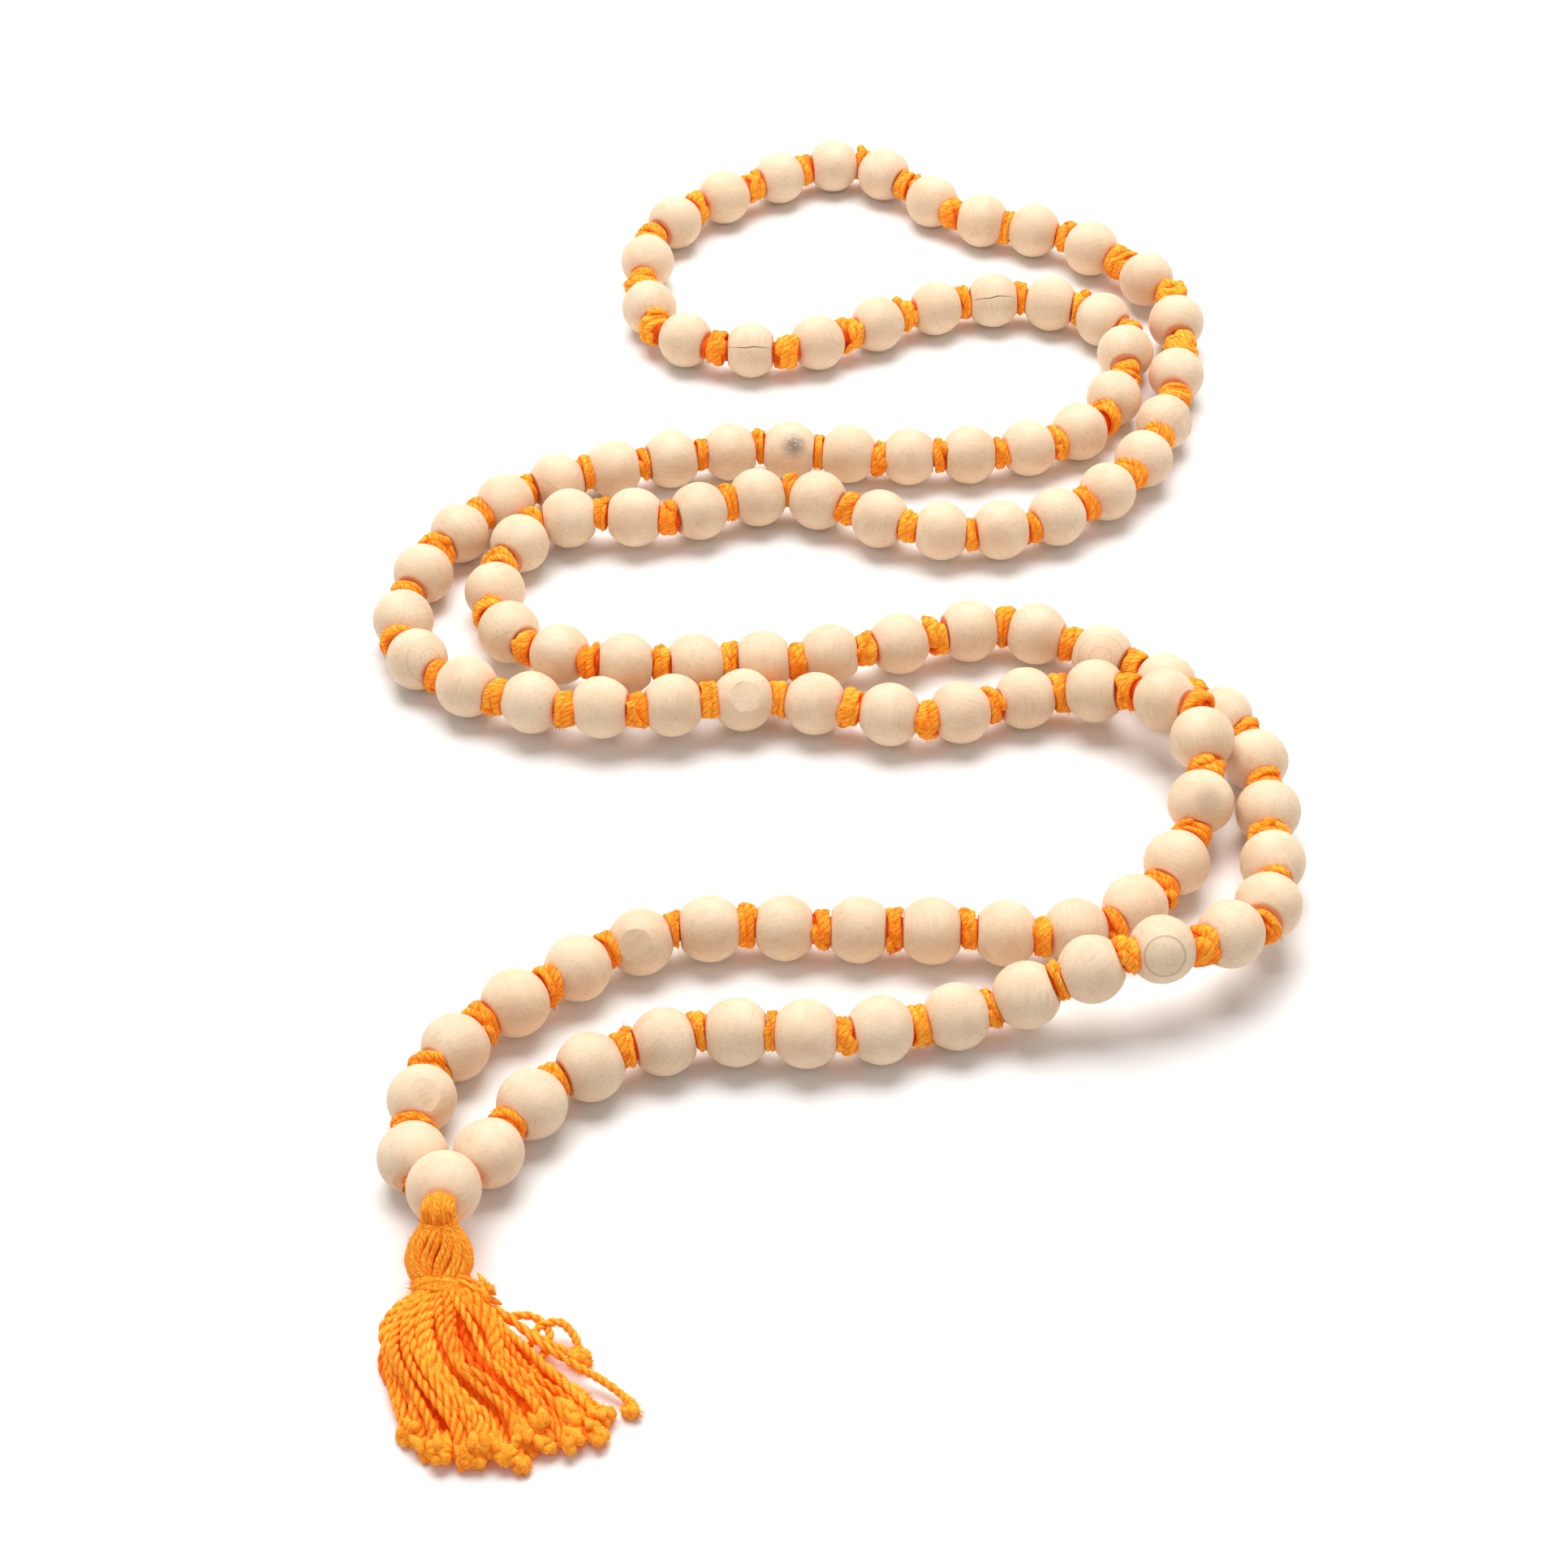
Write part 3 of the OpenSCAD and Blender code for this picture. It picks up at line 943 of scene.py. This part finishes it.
for layer, strands in enumerate(layer_strands):
    skirt = Skein()
    for n in range(strands):
        share = (n + 0.5 + skirt_chance.uniform(-0.3, 0.3)) / strands
        cut = skirt_chance.uniform(0.75, 1.12) - 0.08 * layer
        # Lower layers and the right-hand strands get a lower tone, which is painted shade; the rest
        # of the tone is random.
        tone = skirt_chance.uniform(0.5, 1.0) - 0.22 * layer - 0.35 * max(0, share - 0.6)
        path = strand_between(share, layer, skirt_chance, cut)
        twist_strand(skirt, path, skirt_chance, tone=max(tone, 0))
    if strands == layer_strands[-1]:
        for stray in strays:
            twist_strand(skirt, np.array(stray) * mm, skirt_chance, tone=0.85)
    skirts.append(skirt.piece(f"tassel_skirt_strands_{layer + 1}"))
print("skirt faces:", [len(skirt.data.polygons) for skirt in skirts])

# %% [markdown]
# ## The head, the neck knot and the tie
# The head is made of soft single strands, which run from the neck over the ball and in again
# at the waist, close together and slightly turned. The neck knot is a bundle of the same that
# comes out over the rim of the guru bead, with two turns round its foot. The tie is loose,
# unspun yarn, so it is a bundle of thin strands with open ends.

# %% Wind the head
head_low, head_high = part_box("tassel_head")
head_r = (head_high[0] - head_low[0]) / 2
head_centre = Vector(((head_low[0] + head_high[0]) / 2, head_low[1] + head_r, head_low[2] + head_r))
neck_low, neck_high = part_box("tassel_neck")
neck_centre = (Vector(neck_low) + Vector(neck_high)) / 2
head_top = np.array(neck_centre) + np.array((0, -0.7, -1.4)) * mm
head_steps = (0, 0.05, 0.12, 0.22, 0.35, 0.5, 0.65, 0.8, 0.9, 1)
head_core = np.array([1, 1.4, 2, 2.6, 2.9, 3, 3, 2.9, 2.6, 2.2, 1.8, 1.6]) * mm
head_strand_r, neck_strand_r = 0.43 * mm, 0.4 * mm
print("head at", head_centre[:], "radius", head_r, "neck at", neck_centre[:])
head_chance = random.Random(3)
head = Skein()


def head_path(angle, layer):
    axis = np.array(waist) - head_top
    length = np.linalg.norm(axis)
    axis /= length
    side = np.array((1.0, 0, 0))
    side -= axis * side.dot(axis)
    side /= np.linalg.norm(side)
    up = np.cross(axis, side)
    bow = np.array(head_centre) - (head_top + axis * length * 0.5)
    rows = []
    for s in head_steps:
        swell = math.sin(math.pi * min(1, 0.04 + 0.9 * s)) ** 0.6
        radius = (0.5 + 3.6 * swell) * mm - layer * 0.9 * mm
        if s > 0.85:
            radius = min(radius, 2.3 * mm)
        turn = angle + 0.28 * s + 0.12 * math.sin(5 * s + 3 * angle)
        middle = head_top + axis * length * s + bow * math.sin(math.pi * s) * 0.85
        rows.append(middle + side * radius * math.cos(turn) + up * radius * math.sin(turn))
    return np.array(rows)


for layer, strands in ((0, 34), (0, 10), (1, 20)):
    for n in range(strands):
        angle = (n + head_chance.uniform(-0.3, 0.3)) / strands * 2 * math.pi
        # The inner layer gets a lower tone, which is painted shade.
        tone = max(head_chance.uniform(0.55, 0.95) - 0.3 * layer, 0.1)
        path = head_path(angle, layer)
        lay_single(head, path, head_strand_r, head_chance, tone=tone, middle=head_centre)
# The filling core is painted almost darkest, as painted shade inside the head.
inner = smooth_path([neck_centre, head_centre, waist], len(head_core))
head.thread(inner, head_core, around=14, tone=0.05)
head = head.piece("tassel_head_strands")

# %% Tie the neck knot
neck = Skein()
neck_chance = random.Random(5)
neck_paths = []
mouth = guru_centre + guru_axis * 4.3 * mm
for n in range(12):
    angle = (n + 0.5) / 12 * math.pi * 2
    out = Vector((math.cos(angle), 0.42 * math.sin(angle), 0.9 * math.sin(angle)))
    neck_paths.append([
        mouth + out * 0.7 * mm,
        mouth + guru_axis * 1.0 * mm + out * 1.6 * mm,
        neck_centre + out * 1.95 * mm,
        neck_centre + Vector((0, -0.5, -1.4)) * mm + out * 1.9 * mm,
        neck_centre + Vector((0, -0.9, -2.4)) * mm + out * 1.6 * mm,
    ])
rise = Vector((0, math.sin(guru_tip), math.cos(guru_tip)))
for n in range(8):
    side = Vector(((n - 3.5) * 0.5, 0, 0))
    round_off = 1 - abs(n - 3.5) / 7
    neck_paths.append([
        mouth + (side * 0.6 + rise * 1.2) * mm,
        mouth + (side + rise * 2.0 * round_off) * mm + guru_axis * 1.2 * mm,
        neck_centre + (side + rise * 1.9 * round_off + guru_axis * 0.9) * mm,
        neck_centre + (side + guru_axis * 2.1 * round_off) * mm,
        neck_centre + (side + Vector((0, -1.5, -1.5))) * mm,
        neck_centre + (side * 1.1 + Vector((0, -2.1, -3.0))) * mm,
    ])
for path in neck_paths:
    lay_single(neck, np.array(path), neck_strand_r, neck_chance, hairs=16, middle=neck_centre)
collar_axis = (Vector(head_centre) - neck_centre).normalized()
collar_side = Vector((1, 0, 0))
collar_up = collar_axis.cross(collar_side).normalized()
for n, (drop, radius) in enumerate(((1.0, 2.0), (1.7, 2.1))):
    ring = [
        neck_centre
        + collar_axis * (drop + 0.35 * math.sin(a + n)) * mm
        + (collar_side * math.cos(a) + collar_up * math.sin(a)) * radius * mm
        for a in np.linspace(0.3 + n, 0.3 + n + 2.1 * math.pi, 14)
    ]
    lay_single(neck, np.array(ring), 0.45 * mm, neck_chance, hairs=24)
# The core inside the neck knot is painted darkest, as painted shade.
inner = smooth_path([mouth, neck_centre, neck_centre + collar_axis * 2 * mm], 6)
neck.thread(inner, np.array([1.0, 1.2, 1.5, 1.5, 1.5, 1.4]) * mm, around=12, tone=0.0)
neck = neck.piece("tassel_neck_knot")

# %% Tie the waist
tie = Skein()
tie_steps = 56
tie_chance = random.Random(11)
for n in range(13):
    lift = (n - 6) / 6 * 1.1
    width, depth = 3.35 - 0.3 * abs(lift), 3.0 - 0.35 * abs(lift)
    start = tie_chance.uniform(0, 6.28)
    ring = []
    for a in np.linspace(start, start + 2.1 * math.pi, 22):
        swing = 0.6 * math.cos(a + 2.6) + 0.2 * math.sin(3 * a + n)
        ring.append((math.cos(a) * width, lift + swing, math.sin(a) * depth))
    ring = np.array(waist) + np.array(ring) * mm
    tone = tie_chance.uniform(0.45, 1)
    # Each turn is painted darker on the side that faces the waist, as painted shade.
    away = smooth_path(ring - np.array(waist), tie_steps)
    tie.thread(smooth_path(ring, tie_steps), 0.4 * mm, around=6, tone=tone, away=away)
loose_end = np.array([(2.0, 0.5, 1.9), (3.2, 0.1, 1.7), (4.4, -0.5, 1.2), (5.6, -1.2, 0.6)])
for n in range(9):
    spread = np.outer((0.3, 0.5, 0.7, 1.0), [tie_chance.gauss(0, 0.42) for _ in range(3)])
    loose = np.array(waist) + (loose_end + spread) * mm
    tie.thread(smooth_path(loose, 14), 0.3 * mm, around=6, tone=tie_chance.uniform(0.4, 1))
    open_end(tie, loose[-1], (0.6, -0.6, -0.2), tie_chance, width=0.6)
for _ in range(420):
    a = tie_chance.uniform(0, 6.28)
    out = np.array((math.cos(a), tie_chance.gauss(0, 0.35), math.sin(a)))
    root = np.array(waist) + out * (3.4, 2.6, 3.1) * mm
    add_hair(tie, root, out, tie_chance.uniform(0.4, 1.3) * mm, tie_chance, 1.6)
tie = tie.piece("tassel_tie_yarn")

# %% The strand ends inside the guru bead
core = Skein()
core_side = Vector((1, 0, 0))
core_up = guru_axis.cross(core_side)
for n in range(4):
    angle = n * math.pi / 2
    out = (core_side * math.cos(angle) + core_up * math.sin(angle)) * 0.62 * mm
    run = [guru_centre + guru_axis * reached * mm + out for reached in (-4.6, 0, 4.6)]
    twist_strand(core, np.array(run), neck_chance, scale=1.1, hairs=0, tuft=False)
core = core.piece("tassel_core_strands")

# %% The tassel's pieces ride with their bodies
for piece, node, body in (
    *[(skirt, "tassel_skirt", "tassel") for skirt in skirts],
    (head, "tassel_head", "tassel"),
    (tie, "tassel_tie", "tassel"),
    (neck, "tassel_neck", "tassel_neck"),
    (core, "tassel_core", "guru_end"),
):
    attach(piece, body)
    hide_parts(node)

# %% [markdown]
# ## The wood
# The beads are pale, close-grained and unfinished, so they are matt. Seen close they have three
# things: wide soft bands of cream and peach, the rings of the tree, and short dark pores that
# run with the grain. Each bead stores its own grain direction, so no two show the same piece of
# wood. Round the holes the wood is painted orange, as painted bounce light from the saffron yarn.

# %% Node helpers


def new_group(name, inputs, outputs):
    group = bpy.data.node_groups.new(name, "ShaderNodeTree")
    for label, kind in inputs:
        group.interface.new_socket(label, in_out="INPUT", socket_type=kind)
    for label, kind in outputs:
        group.interface.new_socket(label, in_out="OUTPUT", socket_type=kind)
    return group, group.nodes.new("NodeGroupInput"), group.nodes.new("NodeGroupOutput")


def add(tree, kind, inputs=None, **settings):
    node = tree.nodes.new(kind)
    for key, value in settings.items():
        setattr(node, key, value)
    for key, value in (inputs or {}).items():
        if isinstance(value, bpy.types.NodeSocket):
            tree.links.new(value, node.inputs[key])
        else:
            node.inputs[key].default_value = value
    return node


def ramp(tree, factor, stops):
    node = add(tree, "ShaderNodeValToRGB", {"Fac": factor})
    elements = node.color_ramp.elements
    while len(elements) < len(stops):
        elements.new(0.5)
    for element, (place, colour) in zip(elements, stops):
        element.position = place
        element.color = (*colour, 1)
    return node.outputs["Color"]


def mix(tree, factor, a, b, blend_type="MIX"):
    node = add(tree, "ShaderNodeMix", data_type="RGBA", blend_type=blend_type)
    for socket, value in ((node.inputs[0], factor), (node.inputs[6], a), (node.inputs[7], b)):
        if isinstance(value, bpy.types.NodeSocket):
            tree.links.new(value, socket)
        else:
            socket.default_value = (*value, 1) if isinstance(value, tuple) else value
    return node.outputs[2]


def maths(tree, operation, a, b=0.0, c=0.0, clamp=False):
    node = add(tree, "ShaderNodeMath", operation=operation, use_clamp=clamp)
    for socket, value in zip(node.inputs, (a, b, c)):
        if isinstance(value, bpy.types.NodeSocket):
            tree.links.new(value, socket)
        else:
            socket.default_value = value
    return node.outputs[0]


def grey(value):
    return (value, value, value)


# %% The grain of turned wood
grain_group, grain_in, grain_out = new_group(
    "turned wood",
    [("Grain", "NodeSocketVector"), ("Marks and bounce", "NodeSocketVector"), ("Tone", "NodeSocketFloat")],
    [("Color", "NodeSocketColor"), ("Roughness", "NodeSocketFloat"), ("Height", "NodeSocketFloat")],
)
g = grain_group
grain = grain_in.outputs["Grain"]
marks_and_bounce = add(g, "ShaderNodeSeparateXYZ", {0: grain_in.outputs["Marks and bounce"]})
stretched = add(g, "ShaderNodeMapping", {"Vector": grain, "Scale": (0.25, 2.6, 2.6)})
fine = add(g, "ShaderNodeMapping", {"Vector": grain, "Scale": (0.9, 6.5, 6.5)})
clouds = add(g, "ShaderNodeTexNoise", {"Vector": grain, "Scale": 0.22, "Detail": 3.0})
streaks = add(
    g,
    "ShaderNodeTexNoise",
    {"Vector": stretched.outputs[0], "Scale": 1.0, "Detail": 4.0, "Roughness": 0.6},
)
pores = add(
    g,
    "ShaderNodeTexNoise",
    {"Vector": fine.outputs[0], "Scale": 1.0, "Detail": 2.0, "Roughness": 0.5},
)
rings = add(
    g,
    "ShaderNodeTexWave",
    {"Vector": grain, "Scale": 0.17, "Distortion": 0.9, "Detail": 2.0, "Detail Scale": 0.5},
    wave_type="RINGS",
    rings_direction="X",
    wave_profile="SAW",
)
specks = add(g, "ShaderNodeTexNoise", {"Vector": grain, "Scale": 1.9, "Detail": 1.0})
peach, cream, pale_cream = (0.83, 0.61, 0.42), (0.87, 0.67, 0.475), (0.90, 0.72, 0.53)
base = ramp(g, clouds.outputs["Fac"], [(0.32, peach), (0.5, cream), (0.7, pale_cream)])
tone_shift = ramp(
    g,
    grain_in.outputs["Tone"],
    [(0.0, (0.955, 0.93, 0.90)), (0.5, (1.0, 0.99, 0.975)), (1.0, (1.0, 0.965, 0.925))],
)
colour = mix(g, 1.0, base, tone_shift, "MULTIPLY")
streak_shade = ramp(g, streaks.outputs["Fac"], [(0.32, (0.88, 0.84, 0.80)), (0.52, (1, 1, 1))])
colour = mix(g, 0.75, colour, streak_shade, "MULTIPLY")
pore_shade = ramp(g, pores.outputs["Fac"], [(0.30, (0.72, 0.62, 0.52)), (0.40, (1, 1, 1))])
colour = mix(g, 0.35, colour, pore_shade, "MULTIPLY")
ring_line = ramp(
    g,
    rings.outputs["Fac"],
    [(0.0, grey(0.0)), (0.86, grey(0.12)), (0.95, grey(1.0)), (1.0, grey(0.3))],
)
ring_strength = maths(g, "MULTIPLY_ADD", marks_and_bounce.outputs["Z"], 0.42, 0.08)
ring_factor = maths(g, "MULTIPLY", ring_line, ring_strength, clamp=True)
ring_brown, speck_brown = (0.42, 0.30, 0.21), (0.40, 0.26, 0.16)
smudge_grey, painted_bounce_orange = (0.09, 0.075, 0.075), (0.85, 0.33, 0.06)
colour = mix(g, ring_factor, colour, ring_brown)
speck_mask = ramp(g, specks.outputs["Fac"], [(0.74, grey(0.0)), (0.80, grey(1.0))])
colour = mix(g, maths(g, "MULTIPLY", speck_mask, 0.28), colour, speck_brown)
ragged = maths(g, "MULTIPLY_ADD", streaks.outputs["Fac"], 6.0, -1.9, clamp=True)
smudge_mask = maths(g, "MULTIPLY", marks_and_bounce.outputs["Y"], ragged, clamp=True)
colour = mix(g, maths(g, "MULTIPLY", smudge_mask, 0.85), colour, smudge_grey)
# Round the holes the wood is painted orange where the patchy clouds allow, as painted bounce light
# from the yarn.
patchy = maths(g, "MULTIPLY_ADD", clouds.outputs["Fac"], 1.6, -0.1, clamp=True)
painted_bounce_mask = maths(g, "MULTIPLY", marks_and_bounce.outputs["X"], patchy, clamp=True)
colour = mix(g, maths(g, "MULTIPLY", painted_bounce_mask, 0.55), colour, painted_bounce_orange)
half_pores = maths(g, "MULTIPLY", pores.outputs["Fac"], 0.5)
height = maths(g, "MULTIPLY_ADD", streaks.outputs["Fac"], 0.5, half_pores)
rough = maths(g, "MULTIPLY_ADD", streaks.outputs["Fac"], 0.25, 0.5)
for label, value in (("Color", colour), ("Roughness", rough), ("Height", height)):
    g.links.new(value, grain_out.inputs[label])


def attribute(tree, name):
    return add(tree, "ShaderNodeAttribute", attribute_name=name, attribute_type="GEOMETRY")


def new_material(name):
    material = bpy.data.materials.new(name)
    material.use_nodes = True
    material.node_tree.nodes.clear()
    shader = material.node_tree.nodes.new("ShaderNodeBsdfPrincipled")
    output = material.node_tree.nodes.new("ShaderNodeOutputMaterial")
    material.node_tree.links.new(shader.outputs[0], output.inputs[0])
    return material, material.node_tree, shader


wood, tree, shader = new_material("pale turned wood")
group = add(tree, "ShaderNodeGroup", node_tree=grain_group)
tree.links.new(attribute(tree, "grain").outputs["Vector"], group.inputs["Grain"])
tree.links.new(attribute(tree, "marks_and_bounce").outputs["Vector"], group.inputs["Marks and bounce"])
tree.links.new(attribute(tree, "tone").outputs["Fac"], group.inputs["Tone"])
tree.links.new(group.outputs["Color"], shader.inputs["Base Color"])
tree.links.new(group.outputs["Roughness"], shader.inputs["Roughness"])
bump = add(
    tree,
    "ShaderNodeBump",
    {"Height": group.outputs["Height"], "Strength": 0.35, "Distance": 0.08 * mm},
)
tree.links.new(bump.outputs[0], shader.inputs["Normal"])
shader.inputs["Specular IOR Level"].default_value = 0.35
for bead in list(beads.values()) + [guru]:
    bead.data.materials.clear()
    bead.data.materials.append(wood)

# %% [markdown]
# ## The yarn
# Saffron cotton yarn is matt and slightly downy. Where strands meet, in the grooves between plies
# and on inner sides and layers, its colour is painted darker and redder, as painted shade, and a
# faint red-orange glow is painted over it. The fibres lie at a slant along each ply, so fine
# slanting streaks are drawn from how far round and how far along the thread a point is, and each
# strand has a slightly different depth of dye.

# %% The fibres of spun yarn
yarn_group, yarn_in, yarn_out = new_group(
    "spun yarn",
    [("Round", "NodeSocketVector"), ("Tone", "NodeSocketFloat"), ("Plies", "NodeSocketFloat")],
    [("Color", "NodeSocketColor"), ("Height", "NodeSocketFloat")],
)
g = yarn_group
parts = add(g, "ShaderNodeSeparateXYZ", {0: yarn_in.outputs["Round"]})
turned = maths(g, "MULTIPLY_ADD", parts.outputs["Y"], 0.55, parts.outputs["X"])
circle = maths(g, "MULTIPLY", turned, 2 * math.pi)
fibre_place = add(g, "ShaderNodeCombineXYZ", {
    0: maths(g, "COSINE", circle),
    1: maths(g, "SINE", circle),
    2: maths(g, "MULTIPLY", parts.outputs["Y"], 0.35),
})
fibres = add(
    g,
    "ShaderNodeTexNoise",
    {"Vector": fibre_place.outputs[0], "Scale": 4.2, "Detail": 3.0, "Roughness": 0.6},
)
slubs = add(g, "ShaderNodeTexNoise", {"Vector": fibre_place.outputs[0], "Scale": 0.7, "Detail": 1.0})
deep_saffron, saffron, light_saffron = (0.98, 0.29, 0.008), (1.0, 0.47, 0.03), (1.0, 0.68, 0.13)
dye = ramp(g, fibres.outputs["Fac"], [(0.36, deep_saffron), (0.5, saffron), (0.62, light_saffron)])
uneven = maths(g, "MULTIPLY_ADD", slubs.outputs["Fac"], 0.5, parts.outputs["X"])
spiral = maths(g, "MULTIPLY_ADD", parts.outputs["Y"], 1 / 3.6, uneven)
lobe = maths(g, "ABSOLUTE", maths(g, "SINE", maths(g, "MULTIPLY", spiral, 4 * math.pi)))
round_ply = maths(g, "POWER", lobe, 0.6)
# The grooves between plies are painted darker, as painted shade.
groove = maths(g, "MULTIPLY", maths(g, "SUBTRACT", 1.0, round_ply), yarn_in.outputs["Plies"])
groove_shade = maths(g, "MULTIPLY_ADD", groove, -0.8, 1.0)
lit = maths(g, "MULTIPLY", yarn_in.outputs["Tone"], groove_shade, clamp=True)
# This ramp turns the tone into painted shade: low tone makes the dye darker and redder.
depth = ramp(
    g,
    lit,
    [(0.0, (0.75, 0.18, 0.08)), (0.3, (0.95, 0.46, 0.25)), (0.6, (1.0, 0.8, 0.6)), (1.0, grey(1.0))],
)
colour = mix(g, 1.0, dye, depth, "MULTIPLY")
relief = maths(g, "MULTIPLY_ADD", fibres.outputs["Fac"], 0.35, maths(g, "MULTIPLY", groove, -1.0))
for label, value in (("Color", colour), ("Height", relief)):
    g.links.new(value, yarn_out.inputs[label])


def yarn_material(name, plies, relief):
    material, tree, shader = new_material(name)
    group = add(tree, "ShaderNodeGroup", node_tree=yarn_group)
    uv = add(tree, "ShaderNodeUVMap", uv_map="twine")
    tree.links.new(uv.outputs[0], group.inputs["Round"])
    tree.links.new(attribute(tree, "tone").outputs["Fac"], group.inputs["Tone"])
    group.inputs["Plies"].default_value = plies
    tree.links.new(group.outputs["Color"], shader.inputs["Base Color"])
    fibre_height = group.outputs["Height"]
    bump = add(tree, "ShaderNodeBump", {"Height": fibre_height, "Strength": 0.8, "Distance": relief})
    tree.links.new(bump.outputs[0], shader.inputs["Normal"])
    shader.inputs["Roughness"].default_value = 0.85
    shader.inputs["Specular IOR Level"].default_value = 0.2
    shader.inputs["Subsurface Weight"].default_value = 0.25
    shader.inputs["Subsurface Radius"].default_value = (1.0, 0.3, 0.05)
    shader.inputs["Subsurface Scale"].default_value = 0.4 * mm
    # A faint red-orange glow is painted on as emission, standing in for light that scatters through
    # the dyed yarn and between its strands.
    shader.inputs["Emission Color"].default_value = (1.0, 0.11, 0.0, 1)
    shader.inputs["Emission Strength"].default_value = 0.13
    shader.inputs["Sheen Weight"].default_value = 0.08
    shader.inputs["Sheen Roughness"].default_value = 0.5
    shader.inputs["Sheen Tint"].default_value = (1.0, 0.5, 0.15, 1)
    return material


yarn = yarn_material("saffron cotton yarn", 0.0, 0.25 * mm)
cord = yarn_material("saffron plied cord", 0.9, 0.2 * mm)
for piece in skirts + [tie, core]:
    piece.data.materials.append(yarn)
for piece in list(knots.values()) + yarns + [head, neck]:
    piece.data.materials.append(cord)

# %% [markdown]
# ## Floor and light
# The mala lies on a white sweep under broad, soft light that comes from behind and above, so
# each bead is brightest on top and its soft shadow falls towards the viewer. The floor is lit
# until it is all but pure white.

# %% The floor
deselect()
bpy.ops.mesh.primitive_plane_add(size=4, location=(0, 0, -0.02 * mm))
floor = bpy.context.object
floor.name = "floor"
floor_material, tree, shader = new_material("white sweep")
shader.inputs["Base Color"].default_value = (0.93, 0.93, 0.93, 1)
shader.inputs["Roughness"].default_value = 0.9
floor.data.materials.append(floor_material)

# %% The light


def soft_light(name, place, size, power, colour=(1, 1, 1)):
    data = bpy.data.lights.new(name, "AREA")
    data.shape = "RECTANGLE"
    data.size, data.size_y = size
    data.energy = power
    data.color = colour
    light = bpy.data.objects.new(name, data)
    light.location = place
    light.rotation_euler = (Vector((0, 0, 0)) - Vector(place)).to_track_quat("-Z", "Y").to_euler()
    bpy.context.scene.collection.objects.link(light)


soft_light("key", place=(-0.05, 0.42, 0.95), size=(0.95, 0.8), power=16.2, colour=(1.0, 0.99, 0.97))
soft_light("left fill", place=(-0.8, -0.3, 0.6), size=(0.6, 0.6), power=0.8)
soft_light("right fill", place=(0.8, -0.3, 0.6), size=(0.6, 0.6), power=0.8)
world = bpy.data.worlds.new("studio")
world.use_nodes = True
world.node_tree.nodes["Background"].inputs[0].default_value = (1, 1, 1, 1)
world.node_tree.nodes["Background"].inputs[1].default_value = 0.3
bpy.context.scene.world = world
bpy.context.scene.view_settings.view_transform = "Standard"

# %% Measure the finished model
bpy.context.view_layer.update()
triangles = 0
for obj in bpy.data.objects:
    if obj.type == "MESH":
        obj.data.calc_loop_triangles()
        triangles += len(obj.data.loop_triangles)
print("triangles:", triangles)
